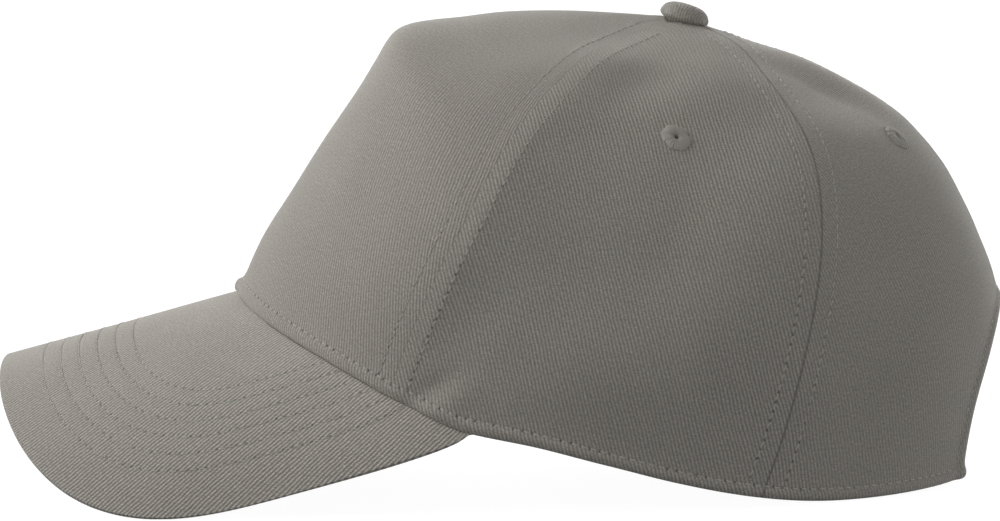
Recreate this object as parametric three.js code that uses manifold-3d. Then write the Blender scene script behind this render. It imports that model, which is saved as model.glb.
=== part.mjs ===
// A five panel cap in grey cotton twill: one wide front panel, two side panels and two rear
// panels, a bent peak, a covered button, four eyelets and a back strap across an arched opening.
// Millimetres. +X is the wearer's left, -Y the front and +Z up. The cap stands on the two side
// edges of its peak and on the rear of its rim, and the origin lies on that surface, under the
// middle of the cap's length and width.
import * as THREE from 'three';
import * as BufferGeometryUtils from 'three/addons/utils/BufferGeometryUtils.js';
import Module from 'manifold-3d';

const wasm = await Module();
wasm.setup();

// Crown, measured on the outside of the cloth
const rimLength = 204;
const rimWidth = 163;
const crownHeight = 124;
const buttonBehindMiddle = 21;
const frontRimHeight = 53;
const rearFullness = 0.04;
const wall = 2;
const seamGap = 0.4;
const crownHoleShare = 0.98;

// Peak, a flat board bent round an axis that slopes down to the front
const bendMargin = 2;
const peakSlope = THREE.MathUtils.degToRad(14);
const peakReach = 66.8;
const peakSideLift = 3.2;
const widestBehindJoint = 8;
const peakSideLength = 104;
const peakSquareness = 3.1;
const peakThickness = 3;
const peakEdgeRound = 1;
const jointGap = 0.35;
const peakCorner = THREE.MathUtils.degToRad(67.5);

// Back opening and strap
const archWidth = 72;
const archHeight = 43;
const archRowShare = 0.34;
const strapHeight = 20;
const strapAboveRim = 2;
const strapThickness = 2;
const strapOverlap = 11;
const strapFlatHalf = 33;
const strapEase = 4;
const strapGap = 0.35;

// Button and eyelets
const buttonRadius = 6.9;
const buttonDome = 3.4;
const buttonSkirt = 0.5;
const buttonTilt = THREE.MathUtils.degToRad(13);
const buttonGap = 0.35;
const eyeletRadius = 4;
const eyeletHole = 1;
const eyeletBarrel = 1.9;
const eyeletRise = 0.9;
const eyeletGap = 0.3;

// Mesh steps
const frontColumns = 20;
const sideColumns = 10;
const rearColumns = 12;
const archRows = 10;
const aboveArchRows = 15;
const peakColumns = 36;
const strapColumns = 24;
const buttonSides = 24;
const eyeletSides = 14;
const holeSides = 14;
const tinyStep = 1e-3;

// Crown sections from the rim up to the button. Each row is a level on the panels, with two
// shares for the front, the side and the back: [out, up]. Out is the share of the way from the
// button's axis to the rim, and up the share of the way from the rim up to the crown's height.
const crownRows = [
  { level: 0.00, front: [1.000, 0.000], side: [1.000, 0.000], back: [1.000, 0.000] },
  { level: 0.10, front: [0.942, 0.208], side: [1.018, 0.133], back: [1.027, 0.135] },
  { level: 0.20, front: [0.868, 0.398], side: [1.030, 0.266], back: [1.050, 0.270] },
  { level: 0.30, front: [0.794, 0.587], side: [1.018, 0.400], back: [1.036, 0.404] },
  { level: 0.40, front: [0.717, 0.775], side: [0.975, 0.530], back: [0.973, 0.530] },
  { level: 0.45, front: [0.680, 0.872], side: [0.942, 0.592], back: [0.931, 0.592] },
  { level: 0.50, front: [0.643, 0.965], side: [0.900, 0.650], back: [0.884, 0.652] },
  { level: 0.53, front: [0.614, 1.003], side: [0.871, 0.684], back: [0.850, 0.686] },
  { level: 0.56, front: [0.572, 1.020], side: [0.838, 0.716], back: [0.813, 0.718] },
  { level: 0.62, front: [0.489, 1.031], side: [0.764, 0.776], back: [0.729, 0.779] },
  { level: 0.70, front: [0.383, 1.047], side: [0.650, 0.845], back: [0.597, 0.843] },
  { level: 0.80, front: [0.251, 1.047], side: [0.478, 0.912], back: [0.415, 0.905] },
  { level: 0.90, front: [0.118, 1.030], side: [0.270, 0.960], back: [0.222, 0.955] },
  { level: 1.00, front: [0.000, 1.000], side: [0.000, 1.000], back: [0.000, 1.000] },
];

// Rim behind the peak: its height, as a share of the height at the front, at angles round the
// cap in degrees from the front.
const rimRows = [
  { angle: 60, share: 0.453 },
  { angle: 70, share: 0.377 },
  { angle: 80, share: 0.317 },
  { angle: 90, share: 0.230 },
  { angle: 100, share: 0.136 },
  { angle: 110, share: 0.060 },
  { angle: 120, share: 0.015 },
  { angle: 130, share: 0.000 },
  { angle: 145, share: 0.008 },
  { angle: 160, share: 0.026 },
  { angle: 180, share: 0.026 },
];

// Seams: the angle round the cap, in degrees from the front, at each level.
const frontSeamRows = [
  { level: 0.0, angle: 55.5 },
  { level: 0.1, angle: 59.0 },
  { level: 0.2, angle: 62.5 },
  { level: 0.3, angle: 65.8 },
  { level: 0.4, angle: 68.7 },
  { level: 0.5, angle: 70.8 },
  { level: 0.6, angle: 71.8 },
  { level: 0.7, angle: 72.4 },
  { level: 0.8, angle: 71.7 },
  { level: 0.9, angle: 68.5 },
  { level: 1.0, angle: 61.0 },
];
const rearSeamRows = [
  { level: 0.0, angle: 112.5 },
  { level: 0.1, angle: 115.8 },
  { level: 0.2, angle: 118.6 },
  { level: 0.3, angle: 121.2 },
  { level: 0.4, angle: 123.8 },
  { level: 0.5, angle: 126.0 },
  { level: 0.6, angle: 128.2 },
  { level: 0.7, angle: 130.4 },
  { level: 0.8, angle: 133.5 },
  { level: 0.9, angle: 142.0 },
  { level: 1.0, angle: 155.0 },
];

// Eyelets, one in each side panel and each rear panel.
const eyeletRows = [
  { panel: 'side', angle: 101, level: 0.600 },
  { panel: 'rear', angle: 156, level: 0.588 },
];

const { degToRad, clamp, lerp } = THREE.MathUtils;
const cloth = { roughness: 0.9, metalness: 0 };

// A smooth curve through a table's rows, read at one place. The function gives a row's value.
function readRows(rows, key, valueOf, place) {
  const last = rows.length - 1;
  const at = clamp(place, rows[0][key], rows[last][key]);
  let i = 0;
  while (i < last - 1 && at > rows[i + 1][key]) i += 1;
  const slope = (k) => {
    const a = rows[Math.max(k - 1, 0)];
    const b = rows[Math.min(k + 1, last)];
    return (valueOf(b) - valueOf(a)) / (b[key] - a[key]);
  };
  const span = rows[i + 1][key] - rows[i][key];
  const f = (at - rows[i][key]) / span;
  return (1 + 2 * f) * (1 - f) ** 2 * valueOf(rows[i]) + f * (1 - f) ** 2 * span * slope(i)
    + f * f * (3 - 2 * f) * valueOf(rows[i + 1]) + f * f * (f - 1) * span * slope(i + 1);
}

// Crown surface

// The rim seen from above, as [x, y] with the middle of the rim at 0, 0.
function rimPlan(angle) {
  const isRear = Math.cos(angle) < 0;
  const fullness = 1 + (isRear ? rearFullness * Math.sin(2 * angle) ** 2 : 0);
  return [
    (rimWidth / 2) * Math.sin(angle) * fullness,
    -(rimLength / 2) * Math.cos(angle) * fullness,
  ];
}

const bendRadius = rimWidth / 2 + bendMargin;

// Height of the bent peak's top face over a point of the plan.
function peakHeight(x, y) {
  const drop = bendRadius - Math.sqrt(bendRadius ** 2 - x ** 2);
  return frontRimHeight + Math.tan(peakSlope) * (y + rimLength / 2) - drop / Math.cos(peakSlope);
}

function freeRimHeight(angle) {
  const degrees = THREE.MathUtils.radToDeg(angle);
  return frontRimHeight * readRows(rimRows, 'angle', (row) => row.share, degrees);
}

// The rim lies on the peak as far as the peak's corner, and runs free from there to the back.
function rimHeight(signedAngle) {
  const angle = Math.abs(signedAngle);
  if (angle <= peakCorner) return peakHeight(...rimPlan(angle));
  const step = peakHeight(...rimPlan(peakCorner)) - freeRimHeight(peakCorner);
  const fade = 1 - THREE.MathUtils.smoothstep(angle, peakCorner, Math.PI / 2);
  return freeRimHeight(angle) + step * fade;
}

function crownPoint(angle, level) {
  const end = Math.cos(angle) > 0 ? 'front' : 'back';
  const endShare = Math.cos(angle) ** 2;
  const read = (k) => readRows(crownRows, 'level', (row) => lerp(row.side[k], row[end][k], endShare), level);
  const out = read(0);
  const up = read(1);
  const [x, y] = rimPlan(angle);
  const rim = rimHeight(angle);
  return new THREE.Vector3(
    x * out,
    lerp(buttonBehindMiddle, y, out),
    lerp(rim, crownHeight, up),
  );
}

function crownNormal(angle, level) {
  const low = Math.max(level - tinyStep, 0);
  const along = crownPoint(angle, low + 2 * tinyStep).sub(crownPoint(angle, low));
  const round = crownPoint(angle + tinyStep, level).sub(crownPoint(angle - tinyStep, level));
  return round.cross(along).normalize();
}

// A point under the crown's outside, this deep into the cloth or below it.
function crownInside(angle, level, depth) {
  return crownPoint(angle, level).addScaledVector(crownNormal(angle, level), -depth);
}

// The angle that spans a length on the crown's outside.
function angleFor(length, angle, level) {
  const round = crownPoint(angle + tinyStep, level).distanceTo(crownPoint(angle, level));
  return length * tinyStep / round;
}

function seamAngle(rows, level) {
  return degToRad(readRows(rows, 'level', (row) => row.angle, level));
}

// Mesh helpers

// A closed solid between two grids of points that face each other.
function solidBetween(outer, inner) {
  const rows = outer.length;
  const columns = outer[0].length;
  const end = columns - 1;
  const points = [...outer.flat(), ...inner.flat()];
  const index = [];
  const at = (row, column, side) => side * rows * columns + row * columns + column;
  const quad = (a, b, c, d) => index.push(a, b, c, a, c, d);
  for (let i = 0; i < rows - 1; i += 1) {
    for (let j = 0; j < columns - 1; j += 1) {
      quad(at(i, j, 0), at(i, j + 1, 0), at(i + 1, j + 1, 0), at(i + 1, j, 0));
      quad(at(i, j, 1), at(i + 1, j, 1), at(i + 1, j + 1, 1), at(i, j + 1, 1));
    }
  }
  for (let j = 0; j < columns - 1; j += 1) {
    quad(at(0, j, 0), at(0, j, 1), at(0, j + 1, 1), at(0, j + 1, 0));
    quad(at(rows - 1, j, 0), at(rows - 1, j + 1, 0), at(rows - 1, j + 1, 1), at(rows - 1, j, 1));
  }
  for (let i = 0; i < rows - 1; i += 1) {
    quad(at(i, 0, 0), at(i + 1, 0, 0), at(i + 1, 0, 1), at(i, 0, 1));
    quad(at(i, end, 0), at(i, end, 1), at(i + 1, end, 1), at(i + 1, end, 0));
  }
  const geometry = new THREE.BufferGeometry().setFromPoints(points);
  geometry.setIndex(index);
  return facingOut(geometry);
}

function signedVolume(geometry) {
  const position = geometry.getAttribute('position');
  const index = geometry.getIndex();
  const [a, b, c] = [new THREE.Vector3(), new THREE.Vector3(), new THREE.Vector3()];
  let total = 0;
  for (let i = 0; i < index.count; i += 3) {
    a.fromBufferAttribute(position, index.getX(i));
    b.fromBufferAttribute(position, index.getX(i + 1));
    c.fromBufferAttribute(position, index.getX(i + 2));
    total += a.dot(b.cross(c)) / 6;
  }
  return total;
}

function facingOut(geometry) {
  if (signedVolume(geometry) > 0) return geometry;
  const index = geometry.getIndex();
  for (let i = 0; i < index.count; i += 3) {
    const second = index.getX(i + 1);
    index.setX(i + 1, index.getX(i + 2));
    index.setX(i + 2, second);
  }
  return geometry;
}

function toSolid(geometry) {
  const bare = geometry.clone();
  bare.deleteAttribute('normal');
  bare.deleteAttribute('uv');
  const merged = facingOut(BufferGeometryUtils.mergeVertices(bare));
  return new wasm.Manifold(new wasm.Mesh({
    numProp: 3,
    vertProperties: new Float32Array(merged.getAttribute('position').array),
    triVerts: new Uint32Array(merged.getIndex().array),
  }));
}

function toGeometry(solid) {
  const mesh = solid.getMesh();
  const geometry = new THREE.BufferGeometry();
  geometry.setAttribute('position', new THREE.BufferAttribute(mesh.vertProperties, 3));
  geometry.setIndex(new THREE.BufferAttribute(mesh.triVerts, 1));
  return geometry;
}

function piece(name, geometry, color) {
  geometry.computeVertexNormals();
  const mesh = new THREE.Mesh(geometry, new THREE.MeshStandardMaterial({ color, ...cloth }));
  mesh.name = name;
  return mesh;
}

// Crown panels

// How far up the front and side panels their rows are: at each row of the crown's table and
// halfway to the next.
const panelShares = crownRows.slice(0, -1).flatMap((row, i) => {
  const next = Math.min(crownRows[i + 1].level, crownHoleShare);
  return [row.level / crownHoleShare, (row.level + next) / 2 / crownHoleShare];
}).concat(1);

// How far up the rear panels their rows are: beside the arched opening, then above it.
const rearShares = [
  ...Array.from({ length: archRows }, (_, i) => (i / archRows) * archRowShare),
  ...Array.from({ length: aboveArchRows + 1 }, (_, i) => lerp(archRowShare, 1, i / aboveArchRows)),
];

// Lays a panel out between a left and a right border, each a function of the share of the way
// up that returns [angle, level].
function panelSolid(leftBorder, rightBorder, shares, columns) {
  const grid = (depth) => shares.map((share) => {
    const [leftAngle, leftLevel] = leftBorder(share);
    const [rightAngle, rightLevel] = rightBorder(share);
    return Array.from({ length: columns + 1 }, (_, j) => {
      const across = j / columns;
      const angle = lerp(leftAngle, rightAngle, across);
      return crownInside(angle, lerp(leftLevel, rightLevel, across), depth);
    });
  });
  return solidBetween(grid(0), grid(wall));
}

// A panel's border along a seam, half the seam's gap to one side of it.
function seamBorder(rows, side) {
  return (share) => {
    const level = share * crownHoleShare;
    const angle = seamAngle(rows, level);
    return [angle + side * angleFor(seamGap / 2, angle, level), level];
  };
}

function mirroredBorder(border) {
  return (share) => {
    const [angle, level] = border(share);
    return [-angle, level];
  };
}

// The level at which the back of the crown reaches a height above its rim.
function rearLevelAt(height) {
  let low = 0;
  let high = 0.5;
  const goal = rimHeight(Math.PI) + height;
  for (let i = 0; i < 40; i += 1) {
    const middle = (low + high) / 2;
    if (crownPoint(Math.PI, middle).z < goal) low = middle;
    else high = middle;
  }
  return low;
}

const archLevel = rearLevelAt(archHeight);
const archAngle = Math.asin(archWidth / rimWidth);

// The rear panel's border: up the arched opening's edge, then up the centre back seam.
function archBorder(share) {
  if (share < archRowShare) {
    const turn = (share / archRowShare) * (Math.PI / 2);
    const angle = Math.PI - archAngle * Math.cos(turn);
    const level = archLevel * Math.sin(turn);
    const seamSide = Math.PI - angleFor(seamGap / 2, Math.PI, level);
    return [Math.min(angle, seamSide), level];
  }
  const level = lerp(archLevel, crownHoleShare, (share - archRowShare) / (1 - archRowShare));
  return [Math.PI - angleFor(seamGap / 2, Math.PI, level), level];
}

const frontSeamBehind = seamBorder(frontSeamRows, 1);
const frontSeamAhead = seamBorder(frontSeamRows, -1);
const rearSeamAhead = seamBorder(rearSeamRows, -1);
const rearSeamBehind = seamBorder(rearSeamRows, 1);

// Eyelets and the holes that they sit in

function placeOnCrown(object, angle, level, lift) {
  const normal = crownNormal(angle, level);
  object.position.copy(crownPoint(angle, level)).addScaledVector(normal, lift);
  object.quaternion.setFromUnitVectors(new THREE.Vector3(0, 0, 1), normal);
  object.updateMatrix();
  return object;
}

// A lathed form with its axis turned from +Y to +Z.
function latheUp(profile, sides) {
  const points = profile.map(([radius, height]) => new THREE.Vector2(radius, height));
  return new THREE.LatheGeometry(points, sides).rotateX(Math.PI / 2);
}

function eyeletHoleCutter(angle, level) {
  const radius = eyeletBarrel + eyeletGap;
  const length = 4 * wall;
  const geometry = new THREE.CylinderGeometry(radius, radius, length, holeSides).rotateX(Math.PI / 2);
  const holder = placeOnCrown(new THREE.Object3D(), angle, level, 0);
  return toSolid(geometry.applyMatrix4(holder.matrix));
}

function eyeletGeometry() {
  const flangeEdge = 0.3;
  const bottom = -wall;
  const geometry = latheUp([
    [eyeletHole, bottom],
    [eyeletBarrel, bottom],
    [eyeletBarrel, 0],
    [eyeletRadius, 0],
    [eyeletRadius, flangeEdge],
    [lerp(eyeletHole, eyeletRadius, 0.7), eyeletRise],
    [lerp(eyeletHole, eyeletRadius, 0.25), eyeletRise],
    [eyeletHole, flangeEdge],
    [eyeletHole, bottom],
  ], eyeletSides);
  return toGeometry(toSolid(geometry));
}

function panelWithEyelet(geometry, angle, level) {
  return toGeometry(toSolid(geometry).subtract(eyeletHoleCutter(angle, level)));
}

// Button

function buttonGeometry() {
  const holeRadius = buttonRadius / 2;
  const domeSteps = 5;
  const dome = Array.from({ length: domeSteps + 1 }, (_, i) => {
    const turn = (i / domeSteps) * (Math.PI / 2);
    return [buttonRadius * Math.cos(turn) ** 0.6, buttonDome * Math.sin(turn)];
  });
  dome[domeSteps][0] = 0;
  const profile = [[0, 0], [holeRadius, 0], [buttonRadius * 0.93, -buttonSkirt], ...dome];
  return toGeometry(toSolid(latheUp(profile, buttonSides)));
}

// Peak

const peakHalf = bendRadius * Math.acos(1 - (frontRimHeight - peakSideLift) / bendRadius);

// A point of the bent board: across its width, ahead of the joint, and this deep below its top.
function bentPoint(across, ahead, depth) {
  const turn = across / bendRadius;
  const radius = bendRadius - depth;
  const rise = radius * Math.cos(turn) - bendRadius;
  return new THREE.Vector3(
    radius * Math.sin(turn),
    -rimLength / 2 - ahead * Math.cos(peakSlope) - rise * Math.sin(peakSlope),
    frontRimHeight - ahead * Math.sin(peakSlope) + rise * Math.cos(peakSlope),
  );
}

// The joint with the crown on the flat board, at an angle round the rim.
function jointOnBoard(angle) {
  const [x, y] = rimPlan(angle);
  const rise = Math.sqrt(bendRadius ** 2 - x ** 2) - bendRadius;
  const ahead = -(y + rimLength / 2 + rise * Math.sin(peakSlope)) / Math.cos(peakSlope);
  return new THREE.Vector2(bendRadius * Math.asin(x / bendRadius), ahead);
}

// The board's outline: a squared oval round its widest place, longer behind it than ahead.
function outlineOnBoard(turn) {
  const length = Math.sin(turn) > 0 ? peakReach + widestBehindJoint : peakSideLength;
  const sum = Math.abs(Math.cos(turn) / peakHalf) ** peakSquareness
    + Math.abs(Math.sin(turn) / length) ** peakSquareness;
  const radius = sum ** (-1 / peakSquareness);
  return new THREE.Vector2(radius * Math.cos(turn), radius * Math.sin(turn) - widestBehindJoint);
}

// Rows of the board from the joint to its edge, and how far each has rounded off there.
const boardRows = [
  { share: 0.00, round: 0 },
  { share: 0.18, round: 0 },
  { share: 0.36, round: 0 },
  { share: 0.54, round: 0 },
  { share: 0.72, round: 0 },
  { share: 0.88, round: 0 },
  { share: 0.975, round: 0 },
  { share: 1.00, round: 1 },
];

function peakSolid() {
  const corner = jointOnBoard(peakCorner);
  const cornerTurn = Math.atan2(corner.y + widestBehindJoint, corner.x);
  const grid = (isUnder) => boardRows.map(({ share, round }) => (
    Array.from({ length: peakColumns + 1 }, (_, j) => {
      const side = (2 * j) / peakColumns - 1;
      const joint = jointOnBoard(side * peakCorner);
      const turn = lerp(Math.PI / 2, side < 0 ? Math.PI - cornerTurn : cornerTurn, Math.abs(side));
      const edge = outlineOnBoard(turn);
      const start = joint.clone().add(edge.clone().sub(joint).setLength(jointGap));
      const place = start.lerp(edge, share);
      const depth = round * peakEdgeRound;
      return bentPoint(place.x, place.y, isUnder ? peakThickness - depth : depth);
    })
  ));
  return solidBetween(grid(false), grid(true));
}

// Strap

// The smaller of two values, with a rounded change from one to the other.
function softMin(a, b, ease) {
  const f = clamp(0.5 + 0.5 * (b - a) / ease, 0, 1);
  return lerp(b, a, f) - ease * f * (1 - f);
}

// The rear rim seen from above, moved inwards.
function insetRimPlan(angle, inset) {
  const [x, y] = rimPlan(angle);
  const [nextX, nextY] = rimPlan(angle + tinyStep);
  const length = Math.hypot(nextX - x, nextY - y);
  return [x - (inset * (nextY - y)) / length, y + (inset * (nextX - x)) / length];
}

// A taut band: flat across the opening, then round the inside of the rear panels.
function strapSolid() {
  const endAngle = Math.asin((archWidth / 2 + strapOverlap) / (rimWidth / 2));
  const flatAngle = Math.PI - Math.asin(strapFlatHalf / (rimWidth / 2));
  const bottom = rimHeight(Math.PI) + strapAboveRim;
  const column = (j, inset) => {
    const angle = Math.PI + lerp(endAngle, -endAngle, j / strapColumns);
    const [x, y] = insetRimPlan(angle, inset);
    return [x, softMin(y, insetRimPlan(flatAngle, inset)[1], strapEase)];
  };
  const grid = (inset) => [bottom, bottom + strapHeight].map((z) => (
    Array.from({ length: strapColumns + 1 }, (_, j) => new THREE.Vector3(...column(j, inset), z))
  ));
  const outside = wall + strapGap;
  return solidBetween(grid(outside), grid(outside + strapThickness));
}

// Assembly

const colors = {
  front: 0x9b978d,
  side: 0x77736a,
  rear: 0x7c786f,
  peak: 0x928f86,
  trim: 0x8a867c,
  strap: 0x77736a,
};

const cap = new THREE.Group();
const frontGeometry = panelSolid(mirroredBorder(frontSeamAhead), frontSeamAhead, panelShares, frontColumns);
cap.add(piece('front_panel', frontGeometry, colors.front));

const sides = [
  { name: 'left', mirror: (border) => border, sign: 1 },
  { name: 'right', mirror: mirroredBorder, sign: -1 },
];
for (const { name, mirror, sign } of sides) {
  const panels = {
    side: panelSolid(mirror(frontSeamBehind), mirror(rearSeamAhead), panelShares, sideColumns),
    rear: panelSolid(mirror(rearSeamBehind), mirror(archBorder), rearShares, rearColumns),
  };
  for (const { panel, angle, level } of eyeletRows) {
    const place = sign * degToRad(angle);
    const geometry = panelWithEyelet(panels[panel], place, level);
    cap.add(piece(`${panel}_panel_${name}`, geometry, colors[panel]));
    const eyelet = piece(`${panel}_eyelet_${name}`, eyeletGeometry(), colors.trim);
    cap.add(placeOnCrown(eyelet, place, level, eyeletGap));
  }
}

cap.add(piece('peak', peakSolid(), colors.peak));
cap.add(piece('back_strap', strapSolid(), colors.strap));

const button = piece('button', buttonGeometry(), colors.trim);
button.rotation.x = -buttonTilt;
button.position.set(0, buttonBehindMiddle, crownHeight);
button.position.addScaledVector(new THREE.Vector3(0, Math.sin(buttonTilt), Math.cos(buttonTilt)), buttonGap);
cap.add(button);

cap.updateMatrixWorld(true);
const box = new THREE.Box3().setFromObject(cap, true);
cap.position.set(0, -(box.min.y + box.max.y) / 2, -box.min.z);
cap.updateMatrixWorld(true);

export default cap;
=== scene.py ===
"""The looks of a five panel cap in taupe grey cotton twill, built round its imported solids.

The crown is five cloth panels, sewn with felled seams that are stitched down on both sides. The
peak is a covered board with six rows of stitching. Lengths are in millimetres until a mesh is
made. -Y is the front of the cap, +X the wearer's left and +Z up.
"""
import logging
import math
from dataclasses import dataclass, field
from enum import Enum
from typing import Callable, Sequence

import bmesh
import bpy
import numpy as np
from mathutils import Matrix, Vector


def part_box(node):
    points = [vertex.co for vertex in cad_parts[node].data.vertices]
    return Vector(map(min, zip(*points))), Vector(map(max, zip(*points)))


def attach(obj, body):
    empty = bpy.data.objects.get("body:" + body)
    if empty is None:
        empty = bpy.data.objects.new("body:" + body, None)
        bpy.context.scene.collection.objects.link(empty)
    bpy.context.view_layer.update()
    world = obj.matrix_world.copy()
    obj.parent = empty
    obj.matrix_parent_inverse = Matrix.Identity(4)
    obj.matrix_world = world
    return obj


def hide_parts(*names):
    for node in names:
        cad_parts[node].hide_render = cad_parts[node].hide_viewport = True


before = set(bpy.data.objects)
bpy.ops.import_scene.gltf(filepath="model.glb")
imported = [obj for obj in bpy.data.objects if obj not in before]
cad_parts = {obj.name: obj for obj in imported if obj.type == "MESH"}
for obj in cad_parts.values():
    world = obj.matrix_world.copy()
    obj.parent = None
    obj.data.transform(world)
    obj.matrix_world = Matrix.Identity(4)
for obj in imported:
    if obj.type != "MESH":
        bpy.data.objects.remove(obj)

LOG = logging.getLogger("five_panel_cap")
MM = 0.001
BODY = "root"
TINY_STEP = 1e-3
Array = np.ndarray


def smoothstep(low: float, high: float, value: Array) -> Array:
    """Rises smoothly from 0 at low to 1 at high.

    Args:
        low: Where the rise starts.
        high: Where it ends.
        value: The places at which it is read.

    Returns:
        The share of the rise at each place.
    """
    share = np.clip((value - low) / (high - low), 0.0, 1.0)
    return share * share * (3.0 - 2.0 * share)


def bell(distance: Array, width: float) -> Array:
    """A round hump that is 1 at distance 0 and fades over the width."""
    return np.exp(-(distance / width) ** 2)


def mix(low: Array, high: Array, share: Array) -> Array:
    """The value at a share of the way from low to high."""
    return low + (high - low) * share


def unit(vectors: Array) -> Array:
    """The vectors, each at length 1."""
    return vectors / np.maximum(np.linalg.norm(vectors, axis=-1, keepdims=True), 1e-12)


@dataclass(frozen=True)
class SmoothTable:
    """A smooth curve through a few rows, each a key followed by one or more values."""

    rows: Sequence[Sequence[float]]

    def read(self, place: Array) -> Array:
        """Reads every value column at the given keys.

        Args:
            place: The keys to read at, of any shape.

        Returns:
            The values, with one more axis for the columns.
        """
        table = np.asarray(self.rows, float)
        keys, values = table[:, 0], table[:, 1:]
        slopes = np.gradient(values, axis=0)
        slopes[1:-1] = (values[2:] - values[:-2]) / (keys[2:] - keys[:-2])[:, None]
        slopes[0] = (values[1] - values[0]) / (keys[1] - keys[0])
        slopes[-1] = (values[-1] - values[-2]) / (keys[-1] - keys[-2])
        at = np.clip(np.asarray(place, float), keys[0], keys[-1])
        i = np.clip(np.searchsorted(keys, at, side="right") - 1, 0, len(keys) - 2)
        span = (keys[i + 1] - keys[i])[..., None]
        f = (at - keys[i])[..., None] / span
        return (
            (1 + 2 * f) * (1 - f) ** 2 * values[i]
            + f * (1 - f) ** 2 * span * slopes[i]
            + f * f * (3 - 2 * f) * values[i + 1]
            + f * f * (f - 1) * span * slopes[i + 1]
        )


@dataclass(frozen=True)
class Path:
    """A line of points on the cap, with the outward direction at each."""

    points: Array
    normals: Array

    @property
    def runs(self) -> Array:
        """The length along the line at each point."""
        steps = np.linalg.norm(np.diff(self.points, axis=0), axis=1)
        return np.concatenate([[0.0], np.cumsum(steps)])

    def at(self, run: Array) -> tuple[Array, Array]:
        """The points and outward directions at lengths along the line.

        Args:
            run: Lengths along the line.

        Returns:
            The points, and the outward directions.
        """
        runs = self.runs
        point = np.stack([np.interp(run, runs, c) for c in self.points.T], axis=-1)
        normal = np.stack([np.interp(run, runs, c) for c in self.normals.T], axis=-1)
        return point, unit(normal)

    def nearest(self, places: Array) -> tuple[Array, Array]:
        """Measures how far places are from the line.

        Args:
            places: Points, of any shape with 3 columns last.

        Returns:
            The distance of each place, and the length along the line nearest to it.
        """
        flat = places.reshape(-1, 3)
        starts, ends = self.points[:-1], self.points[1:]
        runs = self.runs
        best = np.empty(len(flat), int)
        for low in range(0, len(flat), 4000):
            part = flat[low:low + 4000]
            gap = (part ** 2).sum(1)[:, None] - 2 * part @ self.points.T + (self.points ** 2).sum(1)
            best[low:low + 4000] = gap.argmin(1)
        distance = np.full(len(flat), np.inf)
        run = np.zeros(len(flat))
        for shift in (-1, 0):
            i = np.clip(best + shift, 0, len(starts) - 1)
            along = ends[i] - starts[i]
            length = np.maximum((along ** 2).sum(1), 1e-12)
            share = np.clip(((flat - starts[i]) * along).sum(1) / length, 0.0, 1.0)
            off = np.linalg.norm(starts[i] + along * share[:, None] - flat, axis=1)
            closer = off < distance
            distance[closer] = off[closer]
            run[closer] = (runs[i] + share * np.sqrt(length))[closer]
        return distance.reshape(places.shape[:-1]), run.reshape(places.shape[:-1])


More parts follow.
